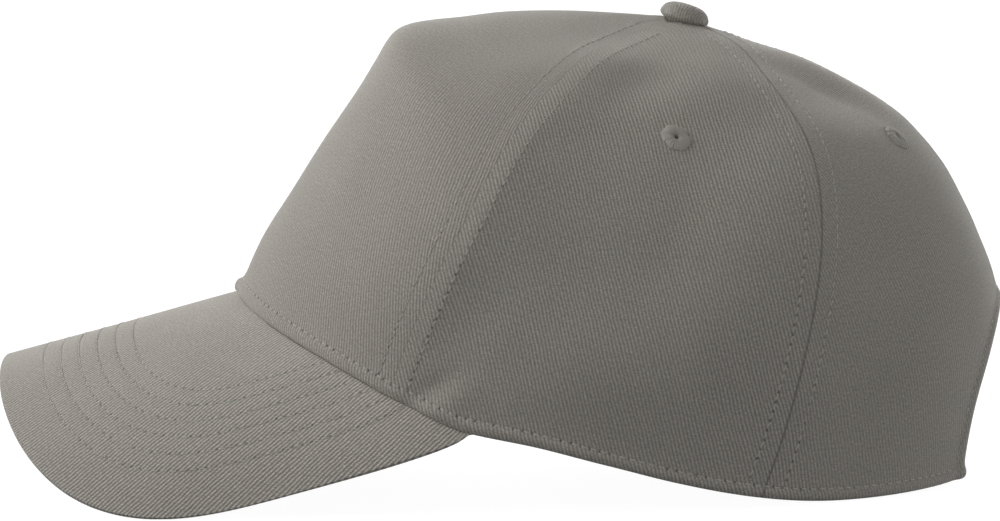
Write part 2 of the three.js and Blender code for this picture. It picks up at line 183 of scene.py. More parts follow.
@dataclass(frozen=True)
class CrownSurface:
    """The outside of the crown, close to the CAD solids, as a function of angle and level.

    The angle goes round the cap from the middle of the front, positive on the wearer's left. The
    level goes from 0 at the rim to 1 under the button.
    """

    rim_length: float = 204.0
    rim_width: float = 163.0
    height: float = 124.6
    button_behind_middle: float = 21.0
    front_rim_height: float = 53.0
    rear_fullness: float = 0.04
    wall: float = 2.0
    top_level: float = 0.98
    bend_margin: float = 2.0
    side_raise: float = 1.35
    peak_slope: float = math.radians(14.0)
    peak_corner: float = math.radians(67.5)
    arch_width: float = 72.0
    arch_height: float = 43.0
    shift_y: float = 0.0

    # Level, then the shares out and up at the front, at the side and at the back.
    SECTIONS = SmoothTable((
        (0.00, 1.000, 0.000, 1.000, 0.000, 1.000, 0.000),
        (0.10, 0.942, 0.207, 1.018, 0.132, 1.027, 0.133),
        (0.20, 0.868, 0.394, 1.030, 0.265, 1.050, 0.269),
        (0.30, 0.794, 0.585, 1.018, 0.398, 1.036, 0.401),
        (0.40, 0.717, 0.773, 0.975, 0.527, 0.973, 0.527),
        (0.45, 0.680, 0.871, 0.942, 0.589, 0.931, 0.589),
        (0.50, 0.643, 0.966, 0.900, 0.646, 0.884, 0.649),
        (0.53, 0.614, 0.999, 0.871, 0.680, 0.850, 0.682),
        (0.56, 0.572, 1.015, 0.838, 0.712, 0.813, 0.714),
        (0.62, 0.489, 1.027, 0.764, 0.771, 0.729, 0.775),
        (0.70, 0.383, 1.046, 0.650, 0.840, 0.597, 0.839),
        (0.80, 0.251, 1.046, 0.478, 0.911, 0.415, 0.904),
        (0.90, 0.118, 1.026, 0.270, 0.952, 0.222, 0.947),
        (1.00, 0.000, 1.000, 0.000, 1.000, 0.000, 1.000),
    ))
    # Angle in degrees, then the rim's height as a share of its height at the front.
    RIM = SmoothTable((
        (60, 0.453), (70, 0.377), (80, 0.317), (90, 0.230), (100, 0.136), (110, 0.060),
        (120, 0.012), (130, 0.000), (145, 0.014), (160, 0.040), (180, 0.046),
    ))
    # Level, then the angle of the front seam and of the rear seam in degrees.
    SEAMS = SmoothTable((
        (0.0, 55.5, 112.5), (0.1, 59.0, 115.8), (0.2, 62.5, 118.6), (0.3, 65.8, 121.2),
        (0.4, 68.7, 123.8), (0.5, 70.8, 126.0), (0.6, 71.8, 128.2), (0.7, 72.4, 130.4),
        (0.8, 71.7, 133.5), (0.9, 68.5, 142.0), (1.0, 61.0, 155.0),
    ))

    @property
    def bend_radius(self) -> float:
        """The radius that the peak is bent to."""
        return self.rim_width / 2 + self.bend_margin

    def rim_plan(self, angle: Array) -> tuple[Array, Array]:
        """The rim seen from above, with its middle at 0, 0.

        Args:
            angle: Angles round the cap in radians.

        Returns:
            The places across and along.
        """
        rear = np.where(np.cos(angle) < 0, np.sin(2 * angle) ** 2, 0.0)
        full = 1 + self.rear_fullness * rear
        return self.rim_width / 2 * np.sin(angle) * full, -self.rim_length / 2 * np.cos(angle) * full

    def raised(self, x: Array) -> Array:
        """How far the peak's sides stand above a round bend."""
        wide = np.abs(x)
        return self.side_raise * (smoothstep(30.0, 76.0, wide) + 0.3 * smoothstep(66.0, 76.0, wide))

    def peak_height(self, x: Array, y: Array) -> Array:
        """The height of the bent peak's top face over a point of the plan.

        Args:
            x: Places across the cap.
            y: Places along it.

        Returns:
            The heights.
        """
        radius = self.bend_radius
        drop = radius - np.sqrt(np.maximum(radius ** 2 - x ** 2, 0.0))
        rise = math.tan(self.peak_slope) * (y + self.rim_length / 2)
        return self.front_rim_height + rise - drop / math.cos(self.peak_slope) + self.raised(x)

    def rim_height(self, signed_angle: Array) -> Array:
        """The height of the rim, which lies on the peak as far as the peak's corner.

        Args:
            signed_angle: Angles round the cap in radians.

        Returns:
            The heights.
        """
        angle = np.abs(signed_angle)
        free = self.front_rim_height * self.RIM.read(np.degrees(angle))[..., 0]
        corner = np.asarray(self.peak_corner)
        step = (self.peak_height(*self.rim_plan(corner))
                - self.front_rim_height * self.RIM.read(np.degrees(corner))[..., 0])
        behind = free + step * (1 - smoothstep(self.peak_corner, math.pi / 2, angle))
        return np.where(angle <= self.peak_corner, self.peak_height(*self.rim_plan(angle)), behind)

    def point(self, angle: Array, level: Array) -> Array:
        """Points on the outside of the crown.

        Args:
            angle: Angles round the cap in radians.
            level: Levels, of the same shape.

        Returns:
            The points in millimetres, with a last axis of 3.
        """
        shares = self.SECTIONS.read(level)
        end = np.where((np.cos(angle) > 0)[..., None], shares[..., 0:2], shares[..., 4:6])
        out_up = mix(shares[..., 2:4], end, np.cos(angle)[..., None] ** 2)
        out, up = out_up[..., 0], out_up[..., 1]
        x, y = self.rim_plan(angle)
        return np.stack([
            x * out,
            mix(self.button_behind_middle, y, out) + self.shift_y,
            mix(self.rim_height(angle), self.height, up),
        ], axis=-1)

    def normal(self, angle: Array, level: Array) -> Array:
        """The outward direction of the crown at angles and levels.

        Args:
            angle: Angles round the cap in radians.
            level: Levels, of the same shape.

        Returns:
            The directions, each of length 1.
        """
        low = np.maximum(level - TINY_STEP, 0.0)
        along = self.point(angle, low + 2 * TINY_STEP) - self.point(angle, low)
        round_it = self.point(angle + TINY_STEP, level) - self.point(angle - TINY_STEP, level)
        return unit(np.cross(round_it, along))

    def path(self, angle: Array, level: Array) -> Path:
        """A line on the crown through angles and levels."""
        return Path(self.point(angle, level), self.normal(angle, level))

    def length_up(self, angle: Array, level: Array) -> Array:
        """The length of the way up the crown to each point, from the height 0.

        Args:
            angle: Angles round the cap in radians.
            level: Levels, of the same shape.

        Returns:
            The lengths in millimetres.
        """
        total = self.rim_height(angle)
        before = self.point(angle, np.zeros_like(level))
        steps = 24
        for k in range(1, steps + 1):
            here = self.point(angle, level * k / steps)
            total = total + np.linalg.norm(here - before, axis=-1)
            before = here
        return total

    def length_round(self, middle: float, angle: Array, level: Array) -> Array:
        """The signed length round the crown from a middle angle to each point.

        Args:
            middle: The angle to measure from.
            angle: Angles round the cap in radians.
            level: Levels, of the same shape.

        Returns:
            The lengths in millimetres, positive on the wearer's left.
        """
        total = np.zeros_like(angle)
        start = np.full_like(angle, middle)
        before = self.point(start, level)
        steps = 24
        for k in range(1, steps + 1):
            here = self.point(mix(start, angle, k / steps), level)
            total = total + np.linalg.norm(here - before, axis=-1)
            before = here
        return total * np.sign(angle - middle)


class Side(Enum):
    """A side of the cap, by the wearer."""

    LEFT = 1
    RIGHT = -1

    @property
    def word(self) -> str:
        """The side's name in lower case."""
        return self.name.lower()


class Graph:
    """The nodes of one material, and the calls that add to them."""

    def __init__(self, name: str) -> None:
        """Makes an empty material.

        Args:
            name: The material's name.
        """
        self.material = bpy.data.materials.new(name)
        self.material.use_nodes = True
        self.tree = self.material.node_tree
        self.tree.nodes.clear()

    def node(self, kind: str, settings: dict[str, object] | None = None,
             inputs: dict[str | int, object] | None = None, output: str | int = 0) -> "Value":
        """Adds a node.

        Args:
            kind: The node's type.
            settings: Its properties, set before its sockets.
            inputs: The value or link of each socket, by name or number.
            output: The output that is wanted, by name or number.

        Returns:
            The wrapped output socket.
        """
        made = self.tree.nodes.new(kind)
        for key, value in (settings or {}).items():
            setattr(made, key, value)
        for key, value in (inputs or {}).items():
            socket = made.inputs[key]
            if isinstance(value, Value):
                self.tree.links.new(value.socket, socket)
            else:
                socket.default_value = value
        return Value(self, made.outputs[output]) if made.outputs else Value(self, made.inputs[0])

    def math(self, operation: str, *terms: "Value | float", clamp: bool = False) -> "Value":
        """Adds a Math node on numbers and values."""
        settings = {"operation": operation, "use_clamp": clamp}
        return self.node("ShaderNodeMath", settings, dict(enumerate(terms)))

    def blend(self, factor: "Value | float", first: object, second: object,
              way: str = "MIX") -> "Value":
        """Mixes two colours.

        Args:
            factor: How much of the second colour shows.
            first: A colour's value, or four numbers.
            second: The other colour.
            way: How the second is laid on the first.

        Returns:
            The mixed colour.
        """
        settings = {"data_type": "RGBA", "blend_type": way}
        return self.node("ShaderNodeMix", settings, {0: factor, 6: first, 7: second}, 2)

    def parts(self, vector: "Value") -> tuple["Value", "Value", "Value"]:
        """The three numbers of a vector."""
        split = self.node("ShaderNodeSeparateXYZ", None, {0: vector}).socket.node
        return tuple(Value(self, split.outputs[k]) for k in range(3))

    def noise(self, vector: "Value", scale: float, detail: float = 2.0) -> "Value":
        """Soft noise from 0 to 1 over a vector."""
        return self.node("ShaderNodeTexNoise", {"noise_dimensions": "3D"},
                         {"Vector": vector, "Scale": scale, "Detail": detail})

    def attribute(self, name: str) -> "Value":
        """A vector that the mesh carries at its points."""
        return self.node("ShaderNodeAttribute", {"attribute_name": name}, None, "Vector")

    def surface(self, shader: "Value") -> bpy.types.Material:
        """Ends the material with its shader."""
        self.node("ShaderNodeOutputMaterial", None, {"Surface": shader})
        return self.material


class Value:
    """A socket that Python's operators add Math nodes to."""

    def __init__(self, graph: Graph, socket: bpy.types.NodeSocket) -> None:
        """Wraps a socket.

        Args:
            graph: The material's nodes.
            socket: The output that holds the value.
        """
        self.graph = graph
        self.socket = socket

    def __add__(self, other: "Value | float") -> "Value":
        """This plus another."""
        return self.graph.math("ADD", self, other)

    def __sub__(self, other: "Value | float") -> "Value":
        """This less another."""
        return self.graph.math("SUBTRACT", self, other)

    def __rsub__(self, other: float) -> "Value":
        """A number less this."""
        return self.graph.math("SUBTRACT", other, self)

    def __mul__(self, other: "Value | float") -> "Value":
        """This times another."""
        return self.graph.math("MULTIPLY", self, other)

    def __truediv__(self, other: "Value | float") -> "Value":
        """This over another."""
        return self.graph.math("DIVIDE", self, other)

    __radd__ = __add__
    __rmul__ = __mul__

    def wave(self) -> "Value":
        """A wave from 0 to 1 that has its tops at whole numbers."""
        return self.graph.math("COSINE", self * math.tau) * 0.5 + 0.5

    def fade(self, low: float, high: float) -> "Value":
        """A smooth change from 0 at low to 1 at high.

        Args:
            low: Where the change starts.
            high: Where it ends.

        Returns:
            The share of the change.
        """
        settings = {"interpolation_type": "SMOOTHSTEP"}
        inputs = {"Value": self, "From Min": low, "From Max": high}
        return self.graph.node("ShaderNodeMapRange", settings, inputs)


Colour = tuple[float, float, float]


def shade(colour: Colour, factor: float = 1.0) -> tuple[float, float, float, float]:
    """A colour as four numbers, made lighter or darker by a factor."""
    return (colour[0] * factor, colour[1] * factor, colour[2] * factor, 1.0)


@dataclass(frozen=True)
class TwillFinish:
    """Cotton twill: slanting ribs of thread with fine grooves between them."""

    name: str
    colour: Colour = (0.3175, 0.298, 0.268)
    rib_pitch: float = 0.96
    rib_lean: float = math.radians(12.0)
    stitch_pitch: float = 2.6
    # The rib grooves are painted darker and the rib tops lighter, as shares of the colour: painted
    # shade and painted highlight.
    groove_shade: float = 0.61
    ridge_shade: float = 1.22
    # How dark the needle holes are painted, as painted shade.
    hole_shade: float = 0.8
    bump_height: float = 0.00013

    def material(self) -> bpy.types.Material:
        """Builds the cloth's material.

        Returns:
            The material, which reads the weave and stitch vectors of its mesh.
        """
        graph = Graph(self.name)
        weave = graph.attribute("weave")
        rib, height = self._ribs(graph, weave)
        holes, seam = self._sewing(graph)
        mottle = graph.noise(weave, 0.045, 3.0)
        slub = graph.noise(weave, 1.45, 1.0).fade(0.3, 0.7)
        tone = mottle * 0.14 + slub * 0.26 + 0.80
        # Painted shade in the grooves between ribs and painted highlight on the rib tops.
        ribs = graph.blend(rib, shade(self.colour, self.groove_shade),
                           shade(self.colour, self.ridge_shade))
        grey = graph.node("ShaderNodeCombineColor", None, {0: tone, 1: tone, 2: tone})
        cloth = graph.blend(1.0, ribs, grey, "MULTIPLY")
        lint = graph.noise(weave, 0.9, 0.0).fade(0.85, 0.89)
        cloth = graph.blend(lint * 0.35, cloth, shade(self.colour, 1.9))
        # Painted shade in the needle holes, which the bump also sinks a little, and painted shadow
        # along the rear and back seams.
        cloth = graph.blend(holes * self.hole_shade, cloth, shade(self.colour, 0.22))
        cloth = graph.blend(seam * 0.6, cloth, shade(self.colour, 0.35))
        bump = graph.node("ShaderNodeBump", None, {
            "Strength": 1.0, "Distance": self.bump_height, "Height": height - holes * 1.5,
        })
        return graph.surface(graph.node("ShaderNodeBsdfPrincipled", None, {
            "Base Color": cloth,
            "Roughness": 0.88,
            "Specular IOR Level": 0.22,
            "Sheen Weight": 0.22,
            "Sheen Roughness": 0.45,
            "Sheen Tint": shade((0.8, 0.78, 0.74)),
            "Normal": bump,
        }))

    def _ribs(self, graph: Graph, weave: Value) -> tuple[Value, Value]:
        """Draws the ribs.

        Args:
            graph: The material's nodes.
            weave: The place on the flat cloth in millimetres.

        Returns:
            How far a place is up a rib, which mixes painted shade in the groove with painted highlight
            on the top, and the height for the bump.
        """
        across, along, _ = graph.parts(weave)
        wander = graph.noise(weave, 0.11, 2.0) * 0.9 + graph.noise(weave, 0.9, 1.0) * 0.22
        turn = across * (math.cos(self.rib_lean) / self.rib_pitch)
        turn = turn + along * (math.sin(self.rib_lean) / self.rib_pitch) + wander
        run = along * (math.cos(self.rib_lean) / self.rib_pitch)
        run = run - across * (math.sin(self.rib_lean) / self.rib_pitch)
        ribs = turn.wave()
        threads = (run * 1.25 + turn * 0.5 + graph.noise(weave, 0.8, 1.0) * 2.4).wave()
        fuzz = graph.noise(weave, 4.5, 2.0)
        top = ribs * (threads * 0.42 + 0.58)
        calm, _, _ = graph.parts(graph.attribute("calm"))
        top = (top - 0.4) * (1.0 - calm * 0.55) + 0.4
        # The share of painted highlight against painted shade at each place on the rib.
        shade_share = top * 0.95 + fuzz * 0.4 - 0.06
        return graph.math("MULTIPLY", shade_share, 1.0, clamp=True), top + fuzz * 0.5

    def _sewing(self, graph: Graph) -> tuple[Value, Value]:
        """Draws the painted shade in the needle holes and the painted shadow along the seams.

        Args:
            graph: The material's nodes.

        Returns:
            The mask of the painted shade in the holes and the mask of the painted shadow along the
            seams.
        """
        away, run, seam = graph.parts(graph.attribute("stitch"))
        turn = run / self.stitch_pitch + 0.5
        local = (graph.math("FRACT", turn) - 0.5) * self.stitch_pitch
        reach = graph.math("SQRT", local * local * 0.8 + away * away)
        holes = 1.0 - reach.fade(0.16, 0.5)
        uneven = graph.noise(graph.attribute("weave"), 0.42, 0.0).fade(0.36, 0.6)
        calm, _, _ = graph.parts(graph.attribute("calm"))
        return holes * (uneven * 0.75 + 0.25) * (1.0 - calm * 0.7), 1.0 - seam.fade(0.05, 0.55)


@dataclass(frozen=True)
class ThreadFinish:
    """Sewing or embroidery thread, twisted and a little shiny."""

    name: str
    colour: Colour = (0.388, 0.369, 0.336)
    twist_pitch: float = 0.5
    roughness: float = 0.62

    def material(self) -> bpy.types.Material:
        """Builds the thread's material, which reads its place along the thread.

        Returns:
            The material.
        """
        graph = Graph(self.name)
        around, along, tone = graph.parts(graph.attribute("weave"))
        strand = (along / self.twist_pitch + around).wave()
        # The twist's grooves are painted darker and its crests lighter, as painted shade and highlight,
        # over a tone that differs at random.
        light = tone * 0.22 + strand * 0.22 + 0.68
        colour = graph.blend(light, shade(self.colour, 0.45), shade(self.colour, 1.15))
        bump = graph.node("ShaderNodeBump", None, {
            "Strength": 0.8, "Distance": 0.00006, "Height": strand,
        })
        return graph.surface(graph.node("ShaderNodeBsdfPrincipled", None, {
            "Base Color": colour,
            "Roughness": self.roughness,
            "Specular IOR Level": 0.3,
            "Sheen Weight": 0.2,
            "Normal": bump,
        }))


@dataclass(frozen=True)
class PaleFinish:
    """The plain pale floor."""

    name: str = "pale_floor"
    colour: Colour = (0.10, 0.10, 0.10)
    glow: float = 0.96

    def material(self) -> bpy.types.Material:
        """Builds the floor's material, which glows a little as a lit studio floor does."""
        graph = Graph(self.name)
        return graph.surface(graph.node("ShaderNodeBsdfPrincipled", None, {
            "Base Color": shade(self.colour), "Roughness": 0.9, "Specular IOR Level": 0.1,
            "Emission Color": shade((1.0, 1.0, 1.0)), "Emission Strength": self.glow,
        }))


def make_object(name: str, points: Array, faces: Sequence[Sequence[int]] | Array,
                vectors: dict[str, Array], material: bpy.types.Material) -> bpy.types.Object:
    """Makes a smooth mesh object from points in millimetres.

    Args:
        name: The object's name.
        points: Its points.
        faces: Its faces, as point numbers.
        vectors: The vectors that its points carry, by name.
        material: Its material.

    Returns:
        The object, with doubled points joined and its faces pointing out.
    """
    mesh = bpy.data.meshes.new(name)
    mesh.from_pydata((points * MM).tolist(), [], np.asarray(faces).tolist())
    for key, values in vectors.items():
        layer = mesh.attributes.new(key, "FLOAT_VECTOR", "POINT")
        layer.data.foreach_set("vector", np.ascontiguousarray(values, np.float32).ravel())
    work = bmesh.new()
    work.from_mesh(mesh)
    bmesh.ops.remove_doubles(work, verts=work.verts, dist=2e-6)
    bmesh.ops.recalc_face_normals(work, faces=work.faces)
    work.to_mesh(mesh)
    work.free()
    mesh.shade_smooth()
    mesh.materials.append(material)
    made = bpy.data.objects.new(name, mesh)
    bpy.context.scene.collection.objects.link(made)
    LOG.info("%s: %d faces", name, len(mesh.polygons))
    return made


def two_faced(outer: Array, inner: Array, outer_vectors: dict[str, Array],
              holes: Array | None = None) -> tuple[Array, list[list[int]], dict[str, Array]]:
    """Closes two grids of points that face each other into one thin solid.

    Args:
        outer: The outer grid, rows by columns by 3.
        inner: The inner grid, of the same shape.
        outer_vectors: The vectors of the grid's points, by name, for both faces.
        holes: Which cells of the grid are left out, if any are.

    Returns:
        The points, the faces and the vectors of the solid.
    """
    rows, columns = outer.shape[:2]
    count = rows * columns
    number = np.arange(count).reshape(rows, columns)
    keep = np.ones((rows - 1, columns - 1), bool) if holes is None else ~holes
    cells = np.stack([number[:-1, :-1], number[:-1, 1:], number[1:, 1:], number[1:, :-1]], axis=-1)
    front = cells[keep]
    faces = [*front.tolist(), *(front[:, ::-1] + count).tolist()]
    for own, other in ((0, 1), (1, 2), (2, 3), (3, 0)):
        for a, b in _open_edges(cells, keep, own, other):
            faces.append([b, a, a + count, b + count])
    points = np.concatenate([outer.reshape(-1, 3), inner.reshape(-1, 3)])
    vectors = {key: np.tile(value.reshape(-1, 3), (2, 1)) for key, value in outer_vectors.items()}
    return points, faces, vectors


def _open_edges(cells: Array, keep: Array, own: int, other: int) -> Array:
    """The edges of kept cells that have no kept cell beyond them.

    Args:
        cells: The four point numbers of each cell.
        keep: Which cells are kept.
        own: The first corner of the edge.
        other: Its second corner.

    Returns:
        The pairs of point numbers.
    """
    step = {(0, 1): (-1, 0), (1, 2): (0, 1), (2, 3): (1, 0), (3, 0): (0, -1)}[(own, other)]
    padded = np.pad(keep, 1)
    rows, columns = keep.shape
    beyond = padded[1 + step[0]:1 + step[0] + rows, 1 + step[1]:1 + step[1] + columns]
    chosen = cells[keep & ~beyond]
    return chosen[:, [own, other]]


def spread(width: float, near: Sequence[float], step: float) -> Array:
    """Places from 0 to a width, close together near both ends.

    Args:
        width: The whole width.
        near: The places near each end, rising from 0.
        step: The usual spacing between those.

    Returns:
        The places as shares of the width.
    """
    ends = np.asarray(near, float)
    between = max(int(round((width - 2 * ends[-1]) / step)), 2)
    middle = np.linspace(ends[-1], width - ends[-1], between + 1)[1:-1]
    return np.concatenate([ends, middle, width - ends[::-1]]) / width


@dataclass(frozen=True)
class SoftFold:
    """A soft hump or hollow in the cloth, seen from the side."""

    ahead: float
    height: float
    lean: float
    length: float
    width: float
    rise: float
    side: Side = Side.LEFT

    def lift(self, points: Array) -> Array:
        """How far the fold lifts each point.

        Args:
            points: Points on the bare surface.

        Returns:
            The lift at each point.
        """
        y, z = points[..., 1] + self.ahead, points[..., 2] - self.height
        along = y * math.cos(self.lean) + z * math.sin(self.lean)
        across = z * math.cos(self.lean) - y * math.sin(self.lean)
        near_side = smoothstep(5.0, 30.0, points[..., 0] * self.side.value)
        return self.rise * bell(along, self.length) * bell(across, self.width) * near_side


@dataclass
class Sewing:
    """Rows of lockstitch, as short threads that dip into the cloth."""

    pitch: float = 2.6
    gap: float = 0.62
    radius: float = 0.185
    finish: ThreadFinish = field(default_factory=lambda: ThreadFinish("seam_thread"))
    made: bpy.types.Material | None = None

    # Share of a stitch, then its height in radii and its thickness as a share.
    ARC = ((0.0, -1.7, 0.55), (0.16, 0.0, 0.9), (0.5, 0.45, 1.0), (0.84, 0.0, 0.9), (1.0, -1.7, 0.55))
    SIDES = 6

    def material(self) -> bpy.types.Material:
        """The thread's material, made once."""
        if self.made is None:
            self.made = self.finish.material()
        return self.made

    def sew(self, name: str, slot: str, paths: Sequence[Path]) -> bpy.types.Object:
        """Makes the stitches along some lines.

        Args:
            name: The piece's name.
            slot: The name of a material slot; not used.
            paths: The lines on the finished cloth.

        Returns:
            The stitches as one object.
        """
        rng = np.random.default_rng(len(name) * 31 + len(paths))
        points, faces, notes = [], [], []
        for path in paths:
            self._row(path, rng, points, faces, notes)
        made = make_object(name, np.concatenate(points), np.concatenate(faces),
                           {"weave": np.concatenate(notes)}, self.material())
        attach(made, BODY)
        return made

    def _row(self, path: Path, rng: np.random.Generator, points: list[Array],
             faces: list[Array], notes: list[Array]) -> None:
        """Adds one row of stitches.

        Args:
            path: The row's line.
            rng: The seeded random numbers.
            points: The points so far.
            faces: The faces so far.
            notes: The thread's vectors so far.
        """
        count = int(path.runs[-1] / self.pitch)
        start = np.arange(count) * self.pitch + self.gap / 2
        arc = np.asarray(self.ARC)
        run = start[:, None] + arc[None, :, 0] * (self.pitch - self.gap)
        centre, up = path.at(run)
        ahead, _ = path.at(run + 0.05)
        behind, _ = path.at(run - 0.05)
        along = unit(ahead - behind)
        aside = unit(np.cross(along, up))
        lift = (arc[:, 1] + rng.normal(0.0, 0.08, (count, 1))) * self.radius
        slant = (arc[:, 0] - 0.5) * 0.16 + rng.normal(0.0, 0.035, (count, 1))
        centre = centre + up * lift[..., None] + aside * slant[..., None]
        turn = np.arange(self.SIDES) / self.SIDES * math.tau
        thick = self.radius * arc[:, 2] * (1 + rng.normal(0.0, 0.06, (count, 1)))
        ring = (aside[..., None, :] * np.cos(turn)[:, None]
                + up[..., None, :] * np.sin(turn)[:, None])
        rings = centre[..., None, :] + ring * thick[..., None, None]
        base = sum(len(p) for p in points)
        steps = len(arc)
        number = base + np.arange(count * steps * self.SIDES).reshape(count, steps, self.SIDES)
        after = np.roll(number, -1, axis=2)
        walls = np.stack([number[:, :-1], after[:, :-1], after[:, 1:], number[:, 1:]], axis=-1)
        half = self.SIDES // 2
        caps = []
        for end in (0, -1):
            loop = number[:, end]
            for k in range(half - 1):
                caps.append(loop[:, [k, k + 1, self.SIDES - 2 - k, self.SIDES - 1 - k]])
        points.append(rings.reshape(-1, 3))
        faces.append(np.concatenate([walls.reshape(-1, 4), *caps]))
        tone = np.broadcast_to(rng.random((count, 1, 1)), (count, steps, self.SIDES))
        around = np.broadcast_to(turn / math.tau, tone.shape)
        length = np.broadcast_to(run[..., None], tone.shape)
        notes.append(np.stack([around, length, tone], axis=-1).reshape(-1, 3))


Border = Callable[[Array], tuple[Array, Array]]


@dataclass(frozen=True)
class Flattening:
    """Lays the front panel out flat with as little stretch as can be, as its cloth was cut.

    Every small triangle of the panel is turned to where it fits its neighbours best, and the
    points are then drawn to the places that suit all the triangles, over and over.
    """

    surface: CrownSurface
    columns: int = 16
    rows: int = 26
    top: float = 0.95
    rounds: int = 50
    stiffness: float = 1e6

    def _grid(self) -> tuple[Array, Array]:
        """The angles and levels of a coarse grid over the panel's left half.

        Returns:
            The angles and the levels, rows by columns.
        """
        level = np.linspace(0.0, self.top, self.rows)[:, None] * np.ones((1, self.columns))
        share = np.linspace(0.0, 1.0, self.columns)[None, :]
        return share * np.radians(self.surface.SEAMS.read(level)[..., 0]), level

    def _triangles(self) -> Array:
        """The triangles of the grid, each cell cut both ways.

        Returns:
            The point numbers of each triangle.
        """
        number = np.arange(self.rows * self.columns).reshape(self.rows, self.columns)
        a, b = number[:-1, :-1].ravel(), number[:-1, 1:].ravel()
        c, d = number[1:, 1:].ravel(), number[1:, :-1].ravel()
        return np.concatenate([np.stack(t, 1) for t in ((a, b, c), (a, c, d), (a, b, d), (b, c, d))])

    def solve(self) -> Array:
        """Works out the flat places.

        Returns:
            The flat place of each point of the grid, rows by columns by 2.
        """
        angle, level = self._grid()
        points = self.surface.point(angle, level).reshape(-1, 3)
        triangles = self._triangles()
        first = points[triangles[:, 1]] - points[triangles[:, 0]]
        second = points[triangles[:, 2]] - points[triangles[:, 0]]
        ahead = unit(first)
        aside = unit(np.cross(np.cross(first, second), first))
        shape = np.zeros((len(triangles), 3, 2))
        shape[:, 1, 0] = (first * ahead).sum(1)
        shape[:, 2, 0] = (second * ahead).sum(1)
        shape[:, 2, 1] = (second * aside).sum(1)
        corners = [(k, (k + 1) % 3, (k + 2) % 3) for k in range(3)]
        weights = [self._weight(shape, *corner) for corner in corners]
        count = len(points)
        system = np.zeros((count, count))
        for weight, (_, i, j) in zip(weights, corners):
            a, b = triangles[:, i], triangles[:, j]
            for row, column, sign in ((a, a, 1), (b, b, 1), (a, b, -1), (b, a, -1)):
                np.add.at(system, (row, column), sign * weight)
        middle = np.arange(0, count, self.columns)
        held_across, held_up = system.copy(), system.copy()
        held_across[middle, middle] += self.stiffness
        held_up[0, 0] += self.stiffness
        across, upward = np.linalg.inv(held_across), np.linalg.inv(held_up)
        flat = np.stack([self.surface.length_round(0.0, angle, level).ravel(),
                         self.surface.length_up(angle, level).ravel()], axis=1)
        for _ in range(self.rounds):
            turns = self._turns(flat[triangles], shape, weights, corners)
            pull = np.zeros((count, 2))
            for weight, (_, i, j) in zip(weights, corners):
                step = weight[:, None] * np.einsum("tab,tb->ta", turns, shape[:, i] - shape[:, j])
                np.add.at(pull, triangles[:, i], step)
                np.add.at(pull, triangles[:, j], -step)
            flat = np.stack([across @ pull[:, 0], upward @ pull[:, 1]], axis=1)
        return flat.reshape(self.rows, self.columns, 2)

    @staticmethod
    def _weight(shape: Array, corner: int, i: int, j: int) -> Array:
        """How strongly each triangle's side opposite a corner holds its length.

        Args:
            shape: The triangles laid flat.
            corner: The corner.
            i: One end of the side.
            j: Its other end.

        Returns:
            The weight of the side in each triangle.
        """
        p, q = shape[:, i] - shape[:, corner], shape[:, j] - shape[:, corner]
        area = np.abs(p[:, 0] * q[:, 1] - p[:, 1] * q[:, 0])
        return np.clip((p * q).sum(1) / area, 0.02, 10.0)

    @staticmethod
    def _turns(flat: Array, shape: Array, weights: Sequence[Array],
               corners: Sequence[tuple[int, int, int]]) -> Array:
        """The turn that lays each triangle best on its flat place.

        Args:
            flat: The flat place of each triangle's corners.
            shape: The triangles laid flat.
            weights: The weights of their three sides.
            corners: The corner opposite each side, and its ends.

        Returns:
            A 2 by 2 turn for each triangle.
        """
        fit = np.zeros((len(shape), 2, 2))
        for weight, (_, i, j) in zip(weights, corners):
            there, here = flat[:, i] - flat[:, j], shape[:, i] - shape[:, j]
            fit += weight[:, None, None] * there[:, :, None] * here[:, None, :]
        left, _, right = np.linalg.svd(fit)
        left[np.linalg.det(left @ right) < 0, :, 1] *= -1
        return left @ right


